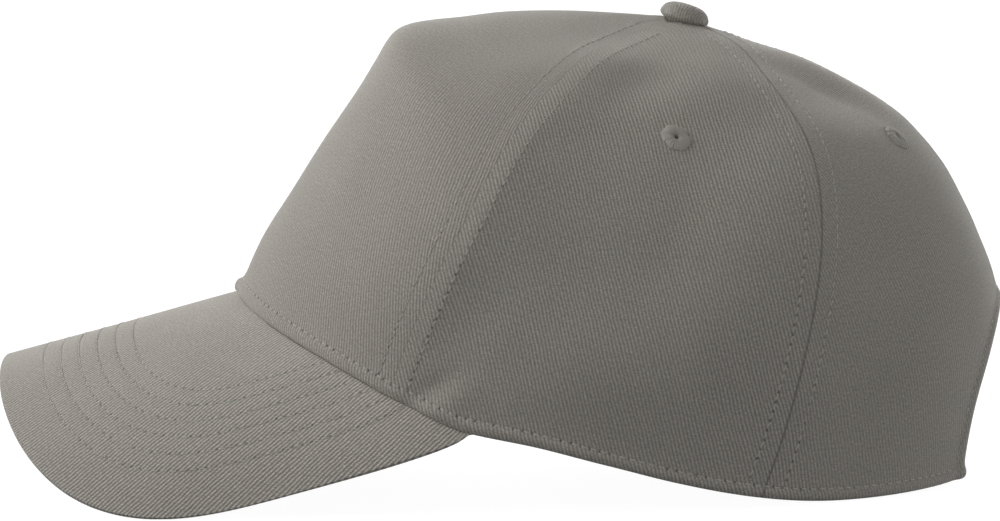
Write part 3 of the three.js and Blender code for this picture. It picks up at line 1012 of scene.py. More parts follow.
@dataclass
class Crown:
    """The five panels, their seams, hem, arched opening and eyelet holes."""

    surface: CrownSurface
    sewing: Sewing
    finish: TwillFinish = TwillFinish("crown_twill")
    seam_gap: float = 0.04
    stitch_from_seam: float = 4.8
    arch_row_share: float = 0.34
    hem_front: float = 4.1
    hem_rear: float = 3.3
    arch_hem: float = 4.0
    hole_radius: float = 2.3
    grid_step: float = 1.15
    edge_round: float = 0.8
    welt_rise: float = 0.6
    stitch_depth: float = 0.11
    front_lean: float = math.radians(18.0)
    ridge_rise: float = 1.3
    sink: float = 3.8
    sink_length: float = 31.0
    least_wall: float = 0.9
    back_row_sink: float = 0.13
    seams: dict[str, Path] = field(default_factory=dict)
    rows: dict[str, Path] = field(default_factory=dict)

    # Where the eyelets are: the angle in degrees and the level.
    EYELETS = {"side": (101.3, 0.627), "rear": (157.3, 0.588)}
    # Grid places near a panel's borders, in millimetres.
    NEAR_SEAM = (0.0, 0.12, 0.3, 0.55, 0.9, 1.4, 2.0, 2.7, 3.4, 4.0, 4.4, 4.8, 5.2, 5.7, 6.5, 7.4)
    NEAR_RIM = (0.0, 0.04, 0.15, 0.35, 0.65, 1.0, 1.4, 1.8, 2.2, 2.6, 2.95, 3.3, 3.65, 4.0, 4.4, 4.9,
                5.6)
    # The share of a seam's height that its rows of stitching span, and the level of the back row's end.
    ROW_SPAN = (0.035, 0.962)
    BACK_ROW_END = 0.945
    # Heights between which the rows grow shallow towards the button.
    SHALLOW = (100.0, 114.0)
    # Heights between which the ridges along the seams rise out of the flat crown, and fade again.
    RIDGE_FOOT = (28.0, 66.0)
    RIDGE_TOP = (113.0, 122.0)
    # Heights between which the hollow behind a front seam starts more softly, and how softly.
    SOFT_START = (96.0, 116.0)
    SOFT_LENGTH = 9.0
    # Distances behind a front seam between which its hollow ends.
    HOLLOW_END = (48.0, 80.0)
    # Where the ribs grow calm: heights towards the top, and lengths towards the rear.
    CALM_TOP = (102.0, 120.0)
    CALM_REAR = (74.0, 98.0)
    # Half the span of angle and of level over which an eyelet's seat is levelled.
    SEAT_SPAN = (0.035, 0.018)
    # The seams and rows of stitching that touch each panel.
    TOUCHING = {
        "front": ("front_seam_left", "front_seam_right", "rim_left", "rim_right",
                  "front_row_ahead_left", "front_row_ahead_right", "hem_left", "hem_right"),
        "side": ("front_seam", "rear_seam", "rim", "front_row_behind", "rear_row_ahead", "hem"),
        "rear": ("rear_seam", "back_seam", "rim", "arch", "rear_row_behind", "hem", "arch_row",
                 "back_row"),
    }
    # The folds that the photograph shows on the left, and a few of the right side's own.
    FOLDS = (
        SoftFold(ahead=-55.0, height=107.0, lean=0.36, length=17.0, width=8.0, rise=0.9),
        SoftFold(ahead=-41.0, height=112.5, lean=0.36, length=15.0, width=5.5, rise=-1.5),
        SoftFold(ahead=-53.4, height=88.0, lean=1.37, length=18.0, width=7.0, rise=-0.5),
        SoftFold(ahead=22.0, height=22.5, lean=0.5, length=4.0, width=2.4, rise=-0.5),
        SoftFold(ahead=16.5, height=32.0, lean=0.56, length=9.5, width=3.0, rise=-0.75),
        SoftFold(ahead=11.0, height=28.0, lean=0.56, length=9.5, width=3.4, rise=0.42),
        SoftFold(ahead=-2.0, height=46.0, lean=0.8, length=14.0, width=5.0, rise=0.35),
        SoftFold(ahead=-56.0, height=41.0, lean=1.5, length=14.0, width=6.0, rise=0.35),
        SoftFold(ahead=-96.0, height=55.0, lean=1.5, length=45.0, width=19.0, rise=-2.7),
        SoftFold(ahead=-96.0, height=55.0, lean=1.5, length=45.0, width=19.0, rise=-1.2,
                 side=Side.RIGHT),
        SoftFold(ahead=-50.0, height=100.0, lean=0.5, length=18.0, width=9.0, rise=0.7,
                 side=Side.RIGHT),
        SoftFold(ahead=-5.0, height=55.0, lean=1.9, length=20.0, width=9.0, rise=-0.45,
                 side=Side.RIGHT),
        SoftFold(ahead=-45.0, height=40.0, lean=1.4, length=20.0, width=8.0, rise=0.4,
                 side=Side.RIGHT),
    )

    def __post_init__(self) -> None:
        """Works out the seams and the rows of stitching, which every panel reads."""
        level = np.linspace(0.0, self.surface.top_level, 420)
        turn = np.linspace(0.0, math.pi / 2, 160)
        arch_angle, arch_level = self._arch(turn)
        rim = np.linspace(0.0, math.pi - self.arch_angle, 700)
        back = np.linspace(self.arch_level, self.surface.top_level, 300)
        lines = {"rim": (rim, rim * 0.0), "arch": (arch_angle, arch_level)}
        rows = {"hem": self._hem_row(), "arch_row": self._arch_row(), "back_row": self._back_row()}
        for column, name in enumerate(("front", "rear")):
            lines[f"{name}_seam"] = (self.seam_angle(level, column), level)
            rows[f"{name}_row_ahead"] = self._beside(level, column, -1)
            rows[f"{name}_row_behind"] = self._beside(level, column, 1)
        for side in Side:
            for name, (angle, line_level) in lines.items():
                self.seams[f"{name}_{side.word}"] = self.surface.path(angle * side.value, line_level)
            self.seams[f"back_seam_{side.word}"] = self.surface.path(np.full_like(back, math.pi), back)
            for name, (angle, line_level) in rows.items():
                self.rows[f"{name}_{side.word}"] = self.surface.path(angle * side.value, line_level)
        self.flat_front = Flattening(self.surface).solve()

    def seam_angle(self, level: Array, column: int) -> Array:
        """The angle of the front seam, column 0, or the rear seam, column 1, at levels."""
        return np.radians(self.surface.SEAMS.read(level)[..., column])

    @property
    def arch_angle(self) -> float:
        """Half the angle that the arched opening spans at the rim."""
        return math.asin(self.surface.arch_width / self.surface.rim_width)

    @property
    def arch_level(self) -> float:
        """The level of the arched opening's top."""
        levels = np.linspace(0.0, 0.5, 2001)
        height = self.surface.point(np.full_like(levels, math.pi), levels)[:, 2]
        return float(np.interp(height[0] + self.surface.arch_height, height, levels))

    def _arch(self, turn: Array, grow: float = 0.0) -> tuple[Array, Array]:
        """The arched opening's edge, or a line outside it.

        Args:
            turn: 0 at the rim to a quarter turn at the top.
            grow: How far outside the edge, in millimetres.

        Returns:
            The angles and levels.
        """
        wide = self.arch_angle + grow / (self.surface.rim_width / 2)
        tall = self.arch_level + grow * self.arch_level / self.surface.arch_height
        return math.pi - wide * np.cos(turn), tall * np.sin(turn)

    def _beside(self, level: Array, column: int, ahead: int) -> tuple[Array, Array]:
        """A row of stitching beside a seam on the wearer's left.

        Args:
            level: The levels along the seam.
            column: 0 for the front seam and 1 for the rear seam.
            ahead: -1 for the row on its front side, 1 for the one behind it.

        Returns:
            The row's angles and levels.
        """
        angle = self.seam_angle(level, column)
        line = self.surface.point(angle, level)
        along = unit(np.gradient(line, axis=0))
        aside = unit(np.cross(self.surface.normal(angle, level), along))
        step = self.surface.point(angle + TINY_STEP, level) - line
        per_angle = np.abs((step * aside).sum(-1)) / TINY_STEP
        offset = self.stitch_from_seam / np.maximum(per_angle, 6.0)
        chosen = slice(*(int(len(level) * share) for share in self.ROW_SPAN))
        return (angle + ahead * offset)[chosen], level[chosen]

    def _hem_row(self) -> tuple[Array, Array]:
        """The row of stitching above the rim, on the wearer's left.

        Returns:
            The row's angles and levels.
        """
        angle = np.linspace(0.0, math.pi - self.arch_angle - 0.05, 700)
        rim = self.surface.point(angle, angle * 0.0)
        above = self.surface.point(angle, angle * 0.0 + 0.02)
        return angle, 0.02 * self.hem_height(angle) / np.linalg.norm(above - rim, axis=-1)

    def _arch_row(self) -> tuple[Array, Array]:
        """The row of stitching round half of the arched opening."""
        return self._arch(np.linspace(0.1, math.pi / 2, 200), self.arch_hem)

    def _back_row(self) -> tuple[Array, Array]:
        """The row of stitching on the left of the centre back seam.

        Returns:
            The row's angles and levels.
        """
        low = self.arch_level * (1 + (self.arch_hem + 0.5) / self.surface.arch_height)
        level = np.linspace(low, self.BACK_ROW_END, 300)
        angle = np.full_like(level, math.pi)
        step = self.surface.point(angle - TINY_STEP, level) - self.surface.point(angle, level)
        per_angle = np.linalg.norm(step, axis=-1) / TINY_STEP
        return angle - self.stitch_from_seam / per_angle, level

    def hem_height(self, angle: Array) -> Array:
        """The height of the hem round the cap."""
        share = smoothstep(math.radians(60), math.radians(110), np.abs(angle))
        return mix(self.hem_front, self.hem_rear, share)

    def touching(self, kind: str, side: Side) -> list[str]:
        """The names of what touches a kind of panel on one side of the cap."""
        names = self.TOUCHING[kind]
        return list(names) if kind == "front" else [f"{name}_{side.word}" for name in names]

    def relief(self, points: Array, angle: Array, names: Sequence[str]) -> Array:
        """How far the cloth stands out from the bare surface.

        Args:
            points: Points on the bare surface of one panel.
            angle: Their angles round the cap.
            names: The seams, hems and rows that touch the panel.

        Returns:
            The lift at each point.
        """
        lift = np.zeros(points.shape[:-1])
        in_front = any(name.startswith("front_row_ahead") for name in names)
        for name in names:
            if name in self.rows:
                away, run = self.rows[name].nearest(points)
                pucker = 0.025 * np.cos(math.tau * run / self.sewing.pitch) * bell(away - 1.2, 0.9)
                depth = self.stitch_depth * (2.2 if name.startswith("hem") else 1.0)
                depth = depth * (1 - 0.8 * smoothstep(*self.SHALLOW, points[..., 2]))
                lift += pucker - depth * bell(away, 0.6)
                continue
            away, _ = self.seams[name].nearest(points)
            if name.startswith(("rim", "arch")):
                tall = self.hem_height(angle) if name.startswith("rim") else self.arch_hem
                inside = np.clip(away / tall, 0.0, 1.0)
                lift += self.welt_rise * np.sin(math.pi * inside) ** 0.8
                lift += 0.22 * (1 - smoothstep(1.0, 1.45, away / tall))
                continue
            lift -= (0.03 if name.startswith("front") else 0.09) * bell(away, 0.35)
            lift += 0.08 * (1 - smoothstep(self.stitch_from_seam, self.stitch_from_seam + 1.6, away))
        for side in Side:
            inward = points[..., 0] * side.value
            if inward.max() < 4.0:
                continue
            share = smoothstep(4.0, 22.0, inward) * (1 - smoothstep(*self.RIDGE_TOP, points[..., 2]))
            for kind in ("front_seam", "rear_seam"):
                away, _ = self.seams[f"{kind}_{side.word}"].nearest(points)
                lift += share * self._ridge(points, -away if in_front else away, kind)
        for fold in self.FOLDS:
            lift += fold.lift(points)
        return lift + self._unevenness(points)

    def _ridge(self, points: Array, behind: Array, name: str) -> Array:
        """The soft ridge that the stiff edge of the front panel and the thick seams raise.

        Args:
            points: Points on the bare surface.
            behind: How far behind the front seam they are, or their distance from another seam.
            name: The seam's name.

        Returns:
            The lift at each point.
        """
        z = points[..., 2]
        if name == "front_seam":
            past_row = np.maximum(behind - self.stitch_from_seam, 0.0)
            soft = self.SOFT_LENGTH * smoothstep(*self.SOFT_START, z)
            past_row = past_row ** 2 / (past_row + 0.01 + soft)
            past_row = past_row / self.sink_length
            sunk = self.sink * past_row * np.exp(1 - past_row)
            sunk = sunk * (1 - smoothstep(*self.HOLLOW_END, behind))
            return (self.ridge_rise * bell(behind + 2.0, 24.0) - sunk) * smoothstep(*self.RIDGE_FOOT, z)
        return 0.6 * bell(behind, 16.0) * bell(z - 75.0, 45.0)

    @staticmethod
    def _unevenness(points: Array) -> Array:
        """The slight unevenness of sewn cloth, as a few long waves."""
        x, y, z = points[..., 0], points[..., 1], points[..., 2]
        return (
            0.10 * np.sin(y / 9.5 + z / 15.0 + 0.7)
            + 0.09 * np.sin(z / 8.0 - y / 21.0 + x / 30.0 + 2.1)
            + 0.06 * np.sin(x / 8.5 + y / 12.0 - z / 17.0 + 4.0)
        )

    def _edge_depth(self, away: Array) -> Array:
        """How far a rounded free edge lies below the face, at a distance from the edge."""
        inside = np.clip(self.edge_round - away, 0.0, self.edge_round)
        return self.edge_round - np.sqrt(self.edge_round ** 2 - inside ** 2)

    def _seam_border(self, column: int, ahead: int) -> Border:
        """A panel's border along a seam on the wearer's left.

        Args:
            column: 0 for the front seam and 1 for the rear seam.
            ahead: -1 for the panel in front of the seam, 1 for the one behind it.

        Returns:
            A function of the share of the way up that gives angles and levels.
        """
        def border(share: Array) -> tuple[Array, Array]:
            """The border's angles and levels."""
            level = share * self.surface.top_level
            angle = self.seam_angle(level, column)
            step = self.surface.point(angle + TINY_STEP, level) - self.surface.point(angle, level)
            per_angle = np.linalg.norm(step, axis=-1) / TINY_STEP
            return angle + ahead * self.seam_gap / 2 / per_angle, level
        return border

    def _arch_border(self, share: Array) -> tuple[Array, Array]:
        """The rear panel's border up the arched opening, then up the centre back seam.

        Args:
            share: The share of the way up.

        Returns:
            The border's angles and levels.
        """
        turn = np.clip(share / self.arch_row_share, 0.0, 1.0) * (math.pi / 2)
        angle, level = self._arch(turn)
        above = (share - self.arch_row_share) / (1 - self.arch_row_share)
        level = np.where(above > 0, mix(self.arch_level, self.surface.top_level, above), level)
        per_angle = np.maximum(0.5 * self.surface.rim_width * (1 - level), 1.0)
        seam_side = math.pi - self.seam_gap / 2 / per_angle
        return np.where(above > 0, seam_side, np.minimum(angle, seam_side)), level

    def _panel(self, kind: str, side: Side, left: Border, right: Border, shares: Array) -> None:
        """Builds one panel.

        Args:
            kind: front, side or rear.
            side: Its side of the cap.
            left: Its first border, as on the wearer's left.
            right: Its second border.
            shares: How far up its rows are.
        """
        name = "front_panel" if kind == "front" else f"{kind}_panel_{side.word}"
        names = self.touching(kind, side)
        left_angle, left_level = left(shares)
        right_angle, right_level = right(shares)
        middle = self.surface.point(mix(left_angle, right_angle, 0.5)[20:60], shares[20:60])
        ends = self.surface.point(left_angle[20:60], shares[20:60])
        width = 2 * float(np.linalg.norm(middle - ends, axis=-1).max())
        across = spread(width, self.NEAR_SEAM, self.grid_step)
        angle = mix(left_angle[:, None], right_angle[:, None], across) * side.value
        level = mix(left_level[:, None], right_level[:, None], across)
        bare = self.surface.point(angle, level)
        normal = self.surface.normal(angle, level)
        lift = self.relief(bare, angle, names)
        depth = np.zeros_like(lift)
        for edge in names:
            if edge.startswith(("rim", "arch")) and edge in self.seams:
                depth = np.maximum(depth, self._edge_depth(self.seams[edge].nearest(bare)[0]))
        outer = bare + normal * (lift - depth)[..., None]
        inner_depth = self.surface.wall - depth * (self.surface.wall / self.edge_round - 1)
        least_wall = self.least_wall * (1 - np.clip(depth / self.edge_round, 0.0, 1.0))
        inner_lift = np.minimum(np.maximum(lift, -0.4) * 0.6 - inner_depth, lift - depth - least_wall)
        inner = bare + normal * inner_lift[..., None]
        joined = depth >= self.edge_round - 1e-6
        inner[joined] = outer[joined]
        vectors = {"weave": self._weave(kind, side, angle, level),
                   "stitch": self._stitch_notes(bare, names),
                   "calm": self._calm(bare)}
        holes = None
        if kind in self.EYELETS:
            degrees, eyelet_level = self.EYELETS[kind]
            centre = self.surface.point(np.radians(degrees * side.value), np.asarray(eyelet_level))
            middles = (bare[:-1, :-1] + bare[1:, 1:]) / 2
            holes = np.linalg.norm(middles - centre, axis=-1) < self.hole_radius
        points, faces, carried = two_faced(outer, inner, vectors, holes)
        made = make_object(f"{name}_cloth", points, faces, carried, self.material)
        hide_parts(name)
        self._declare(made, bare)
        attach(made, BODY)

    def _calm(self, bare: Array) -> Array:
        """How flat the ribs lie, and how faint their painted shade and highlight and the needle holes'
        painted shade are: flatter and fainter near the top and on the rear panels.

        Args:
            bare: The panel's points on the bare surface.

        Returns:
            A vector for each point, with the same number three times.
        """
        near_top = smoothstep(*self.CALM_TOP, bare[..., 2:])
        at_rear = 0.9 * smoothstep(*self.CALM_REAR, bare[..., 1:2])
        return np.maximum(near_top, at_rear) * np.ones(3)

    @staticmethod
    def _declare(made: bpy.types.Object, bare: Array) -> None:
        """Takes a panel and its grid of points, and does nothing with them.

        Args:
            made: The panel; not used.
            bare: Its grid of points on the bare surface; not used.
        """

    def _weave(self, kind: str, side: Side, angle: Array, level: Array) -> Array:
        """Places on the flat cloth, with a third column of 0.

        Args:
            kind: front, side or rear.
            side: The panel's side of the cap.
            angle: The angles of the panel's points.
            level: Their levels.

        Returns:
            The places in millimetres, across and up.
        """
        if kind == "front":
            across, upward = self._flat_front(angle, level)
        elif kind == "side":
            across = self.surface.point(angle, level)[..., 1] * side.value
            upward = self.surface.length_up(angle, level)
        else:
            across = self.surface.length_round(math.radians(148.0) * side.value, angle, level)
            upward = self.surface.length_up(angle, level)
        return np.stack([across, upward, across * 0.0], axis=-1)

    def _flat_front(self, angle: Array, level: Array) -> tuple[Array, Array]:
        """Places on the flat front panel, turned so that its ribs lean as they do on the cap.

        Args:
            angle: The angles of the panel's points.
            level: Their levels.

        Returns:
            The places in millimetres, across and up.
        """
        flat = self.flat_front
        rows, columns = flat.shape[:2]
        share = np.abs(angle) / self.seam_angle(level, 0)
        i = np.clip(level / Flattening.top * (rows - 1), 0, rows - 1.0001)
        j = np.clip(share * (columns - 1), 0, columns - 1.0001)
        a, b = i.astype(int), j.astype(int)
        f, g = (i - a)[..., None], (j - b)[..., None]
        low = mix(flat[a, b], flat[a, b + 1], g)
        high = mix(flat[a + 1, b], flat[a + 1, b + 1], g)
        place = mix(low, high, f)
        upward = place[..., 1]
        across = place[..., 0] * (1 + 0.6 * smoothstep(80.0, 170.0, upward)) * np.sign(angle)
        cos, sin = math.cos(self.front_lean), math.sin(self.front_lean)
        return across * cos + upward * sin, upward * cos - across * sin

    def _stitch_notes(self, bare: Array, names: Sequence[str]) -> Array:
        """What the material needs for the painted shade in its needle holes and the painted shadow
        along its seams.

        Args:
            bare: The grid of points.
            names: The seams and rows that touch the panel.

        Returns:
            For each point, the distance to the nearest row of stitching, the length along that
            row and the distance to the nearest rear seam.
        """
        away = np.full(bare.shape[:-1], 1e3)
        along = np.zeros_like(away)
        seam = np.full_like(away, 1e3)
        for name in names:
            if name in self.rows:
                distance, run = self.rows[name].nearest(bare)
                closer = distance < away
                away[closer] = distance[closer]
                along[closer] = run[closer]
            elif name.startswith(("rear_seam", "back_seam")):
                seam = np.minimum(seam, self.seams[name].nearest(bare)[0])
        return np.stack([away, along, seam], axis=-1)

    def eyelet_seat(self, kind: str, side: Side) -> tuple[Array, Array]:
        """Where an eyelet sits on the finished cloth.

        Args:
            kind: The panel, side or rear.
            side: The panel's side of the cap.

        Returns:
            The middle of the hole and the cloth's normal there.
        """
        degrees, level = self.EYELETS[kind]
        round_cap, up_cap = self.SEAT_SPAN
        steps = np.array([-1.0, 1.0])
        angles = math.radians(degrees) * side.value + steps[None, :] * round_cap + steps[:, None] * 0.0
        levels = level + steps[:, None] * up_cap + steps[None, :] * 0.0
        bare = self.surface.point(angles, levels)
        lift = self.relief(bare, angles, self.touching(kind, side))
        cloth = bare + self.surface.normal(angles, levels) * lift[..., None]
        normal = unit(np.cross(cloth[1, 1] - cloth[0, 0], cloth[1, 0] - cloth[0, 1]))
        outward = self.surface.normal(angles, levels).mean((0, 1))
        return cloth.mean((0, 1)), normal * np.sign(normal @ outward)

    def build(self) -> None:
        """Builds the five panels and sews them."""
        self.material = self.finish.material()
        tall = 150.0
        near = np.asarray(self.NEAR_RIM) / tall
        shares = np.concatenate([near, np.arange(near[-1], 1.0, self.grid_step / tall)[1:], [1.0]])
        rear_shares = np.unique(np.concatenate([shares, self.arch_row_share + near[:12]]))
        front_right = self._seam_border(0, -1)

        def front_left(share: Array) -> tuple[Array, Array]:
            """The front panel's border on the wearer's right."""
            angle, level = front_right(share)
            return -angle, level

        self._panel("front", Side.LEFT, front_left, front_right, shares)
        for side in Side:
            self._panel("side", side, self._seam_border(0, 1), self._seam_border(1, -1), shares)
            self._panel("rear", side, self._seam_border(1, 1), self._arch_border, rear_shares)
        self._sew()

    def _sew(self) -> None:
        """Sews the rows of stitching."""
        pieces = {
            "front_seam_stitches": ("front_row_ahead", "front_row_behind"),
            "rear_seam_stitches": ("rear_row_ahead", "rear_row_behind"),
            "back_seam_stitches": ("back_row",),
            "arch_stitches": ("arch_row",),
            "hem_stitches": ("hem",),
        }
        for name, starts in pieces.items():
            lines = [self._lifted(f"{start}_{side.word}", side) for start in starts for side in Side]
            self.sewing.sew(name, "crown_twill", lines)

    def _lifted(self, key: str, side: Side) -> Path:
        """A row moved from the bare surface to the finished cloth.

        Args:
            key: The row's name and side.
            side: Its side of the cap.

        Returns:
            The moved row.
        """
        row = self.rows[key]
        kinds = {"front_row_ahead": "front", "front_row_behind": "side", "rear_row_ahead": "side",
                 "rear_row_behind": "rear", "back_row": "rear", "arch_row": "rear"}
        kind = kinds.get(key.rsplit("_", 1)[0])
        angle = self._angle_of(row.points)
        if kind is not None:
            lift = self.relief(row.points, angle, self.touching(kind, side))
            lift = lift - (self.back_row_sink if key.startswith("back_row") else 0.0)
            return Path(row.points + row.normals * lift[:, None], row.normals)
        seam_angles = [float(self.seam_angle(np.asarray(0.03), column)) for column in (0, 1)]
        lifts = [self.relief(row.points, angle, self.touching(k, side))
                 for k in ("front", "side", "rear")]
        part = np.searchsorted(seam_angles, np.abs(angle))
        lift = np.choose(part, lifts)
        return Path(row.points + row.normals * lift[:, None], row.normals)

    def _angle_of(self, points: Array) -> Array:
        """The angle round the cap of points near the rim."""
        along = -(points[..., 1] - self.surface.shift_y) / (self.surface.rim_length / 2)
        return np.arctan2(points[..., 0] / (self.surface.rim_width / 2), along)


@dataclass
class Peak:
    """The bent peak: a board covered in cloth, with rows of stitching along its front."""

    surface: CrownSurface
    sewing: Sewing
    # The peak's twill is the crown's cloth given a lighter colour, as painted light for the brighter
    # light on the peak, with stronger painted shade and highlight on its ribs.
    finish: TwillFinish = TwillFinish("peak_twill", (0.402, 0.378, 0.339), groove_shade=0.44,
                                      ridge_shade=1.29, hole_shade=0.5)
    reach: float = 66.8
    side_lift: float = 1.5
    behind_joint: float = 8.0
    side_length: float = 110.0
    squareness: float = 3.25
    thickness: float = 3.0
    row_count: int = 6
    first_row: tuple[float, float, float] = (85.6, 62.7, 64.0)
    row_step: tuple[float, float, float] = (4.9, 5.1, 2.0)
    row_clear: float = 1.2
    last_line: float = 10.2
    line_step: float = 0.22
    row_depth: float = 0.09
    quilt_rise: float = 0.02
    edge_round: float = 0.22
    edge_thickness: float = 1.7
    tip_turn: float = math.radians(3.4)
    rib_turn: float = math.radians(42.0)
    tuck: float = 1.6
    columns: int = 300

    # Shares of the way from one row of stitching to the next.
    BETWEEN = (0.0, 0.06, 0.12, 0.2, 0.32, 0.5, 0.68, 0.8, 0.88, 0.94)
    # Grid places near the board's edge, in millimetres.
    NEAR_EDGE = (0.0, 0.01, 0.04, 0.08, 0.14, 0.22, 0.4, 0.8, 1.4, 2.2, 3.2, 4.6, 6.4, 8.4, 10.0, 11.2,
                 12.0)
    # Grid places near the joint with the crown, in millimetres.
    NEAR_JOINT = (2.2, 1.5, 1.0, 0.6, 0.3, 0.1, 0.0)

    @property
    def edge(self) -> tuple[float, float, float]:
        """Half the board's width, its reach ahead and its reach behind, from its widest place."""
        bend = self.surface.bend_radius
        half = bend * math.acos(1 - (self.surface.front_rim_height - self.side_lift) / bend)
        return half, self.reach + self.behind_joint, self.side_length

    def ring(self, turn: Array, sizes: Sequence[float]) -> Array:
        """The distance from the middle of the widest place to a squared oval, at an angle.

        Args:
            turn: Angles round the middle.
            sizes: Half the width, the reach ahead and the reach behind.

        Returns:
            The distances in millimetres.
        """
        half, ahead, behind = sizes
        length = np.where(np.sin(turn) > 0, ahead, behind)
        total = (np.abs(np.cos(turn) / half) ** self.squareness
                 + np.abs(np.sin(turn) / length) ** self.squareness)
        return total ** (-1 / self.squareness)

    def joint(self) -> tuple[Array, Array]:
        """The joint with the crown, as angles and distances on the flat board.

        Returns:
            The angles, and the distances in millimetres.
        """
        surface = self.surface
        bend = surface.bend_radius
        last = surface.peak_corner + self.tip_turn
        angle = np.linspace(last, -last, 1201)
        x, y = surface.rim_plan(angle)
        rise = np.sqrt(bend ** 2 - x ** 2) - bend
        ahead = -(y + surface.rim_length / 2 + rise * math.sin(surface.peak_slope))
        ahead = ahead / math.cos(surface.peak_slope) + self.behind_joint
        across = bend * np.arcsin(x / bend)
        turn = np.arctan2(ahead, across)
        turn = np.where(turn < -math.pi / 2, turn + math.tau, turn)
        return turn, np.hypot(across, ahead)

    def bent(self, board: Array, depth: Array) -> Array:
        """Points of the bent board at a depth below its top.

        Args:
            board: Places on the flat board.
            depth: Their depths.

        Returns:
            The points.
        """
        surface = self.surface
        bend, slope = surface.bend_radius, surface.peak_slope
        turn = board[..., 0] / bend
        radius = bend - depth
        rise = radius * np.cos(turn) - bend
        ahead = board[..., 1]
        x = radius * np.sin(turn)
        y = -surface.rim_length / 2 - ahead * math.cos(slope) - rise * math.sin(slope)
        z = surface.front_rim_height - ahead * math.sin(slope) + rise * math.cos(slope)
        angle = np.arctan2(np.abs(x) / surface.rim_width, -y / surface.rim_length)
        gap = surface.rim_height(angle) - surface.peak_height(*surface.rim_plan(angle))
        tip = smoothstep(surface.peak_corner - 0.02, surface.peak_corner + 0.01, angle)
        hidden = 1.3 * smoothstep(surface.peak_corner + 0.02, surface.peak_corner + 0.07, angle)
        return np.stack([x, y + surface.shift_y, z + surface.raised(x) + gap * tip + hidden], axis=-1)

    def _board(self, turn: Array, distance: Array) -> Array:
        """Places on the flat board from angles and distances."""
        return np.stack([distance * np.cos(turn), distance * np.sin(turn) - self.behind_joint], axis=-1)

    def _sizes(self, row: float) -> tuple[float, float, float]:
        """The sizes of a row of stitching, counted from the outermost."""
        return tuple(a - row * b for a, b in zip(self.first_row, self.row_step))

    def _rows(self) -> list[Array]:
        """The rows of stitching on the flat board.

        Returns:
            The places along each row.
        """
        joint_turn, joint_reach = self.joint()
        rows = []
        for k in range(self.row_count):
            turn = np.linspace(joint_turn[0], joint_turn[-1], 1600)
            reach = self.ring(turn, self._sizes(k))
            clear = reach > np.interp(turn, joint_turn, joint_reach) + self.row_clear
            rows.append(self._board(turn[clear], reach[clear]))
        return rows

    def _depth(self, board: Array, rows: Sequence[Array]) -> tuple[Array, Array, Array]:
        """How deep the cloth lies below the board's top, and where the stitches are.

        Args:
            board: Places on the flat board.
            rows: The rows of stitching on it.

        Returns:
            The depth, the distance to the nearest row and the length along it.
        """
        flat = np.concatenate([board, np.zeros((*board.shape[:-1], 1))], axis=-1)
        away = np.full(board.shape[:-1], 1e3)
        along = np.zeros_like(away)
        for row in rows:
            line = np.concatenate([row, np.zeros((len(row), 1))], axis=1)
            distance, run = Path(line, line).nearest(flat)
            closer = distance < away
            away[closer] = distance[closer]
            along[closer] = run[closer]
        quilt = np.clip(away / (self.row_step[1] / 2), 0.0, 1.0)
        pucker = 0.02 * np.cos(math.tau * along / self.sewing.pitch) * bell(away - 0.9, 0.7)
        x, y = board[..., 0], board[..., 1]
        wave = 0.10 * np.sin(x / 13.0 + 0.4) * np.sin(y / 17.0 + 1.0) + 0.06 * np.sin(x / 7.0 - y / 9.0)
        depth = self.row_depth * bell(away, 0.55) - self.quilt_rise * np.sin(quilt * math.pi / 2) ** 2
        return depth - pucker + wave + 0.1, away, along

    def build(self) -> None:
        """Builds the peak and sews its rows."""
        joint_turn, joint_reach = self.joint()
        turn = np.linspace(joint_turn[0], joint_turn[-1], self.columns + 1)
        inner_edge = np.interp(turn, joint_turn, joint_reach) - self.tuck
        last = np.abs(joint_turn - math.pi / 2).max()
        tip = smoothstep(last * 0.95, last, np.abs(turn - math.pi / 2))
        edge = self.ring(turn, self.edge)
        rows = [edge - step for step in self.NEAR_EDGE]
        gaps = [(k + share) for k in range(self.row_count) for share in self.BETWEEN]
        rows += [self.ring(turn, self._sizes(k)) for k in gaps]
        behind_rows = np.arange(self.row_count, self.last_line, self.line_step)
        rows += [self.ring(turn, self._sizes(k)) for k in behind_rows]
        reach = np.minimum.accumulate(np.stack(rows), axis=0)
        reach = np.maximum(reach, inner_edge)
        near_joint = np.stack([inner_edge + step for step in self.NEAR_JOINT])
        reach = np.concatenate([np.maximum(reach, near_joint[0]), np.minimum(near_joint, reach[-1])])
        board = self._board(np.broadcast_to(turn, reach.shape), reach)
        depth, away, along = self._depth(board, self._rows())
        in_from_edge = edge - reach
        half = self.edge_round
        inside = np.clip(half - in_from_edge, 0.0, half)
        rounding = half - np.sqrt(half ** 2 - inside ** 2)
        past_joint = np.clip(1.0 - (reach - inner_edge) / 1.6, 0.0, 1.0)
        top = np.where(rounding > 0, np.maximum(rounding, depth), depth) + 0.3 * past_joint ** 2
        thin = 1 - smoothstep(0.0, 4.5, in_from_edge)
        under = mix(mix(self.thickness, self.edge_thickness, thin), 0.6, tip) - rounding
        outer, inner = self.bent(board, top), self.bent(board, under)
        cos, sin = math.cos(self.rib_turn), math.sin(self.rib_turn)
        weave = np.stack([board[..., 0] * cos - board[..., 1] * sin,
                          board[..., 0] * sin + board[..., 1] * cos,
                          np.zeros(board.shape[:-1])], axis=-1)
        notes = np.stack([away, along, np.full_like(away, 1e3)], axis=-1)
        points, faces, carried = two_faced(outer, inner, {"weave": weave, "stitch": notes})
        made = make_object("peak_cloth", points, faces, carried, self.finish.material())
        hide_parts("peak")
        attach(made, BODY)
        self._sew()

    def _sew(self) -> None:
        """Sews the rows."""
        lines = []
        rows = self._rows()
        for row in rows:
            depth, _, _ = self._depth(row, rows)
            points = self.bent(row, depth)
            normals = unit(self.bent(row, depth - 1.0) - points)
            lines.append(Path(points, normals))
        self.sewing.sew("peak_stitches", "peak_twill", lines)


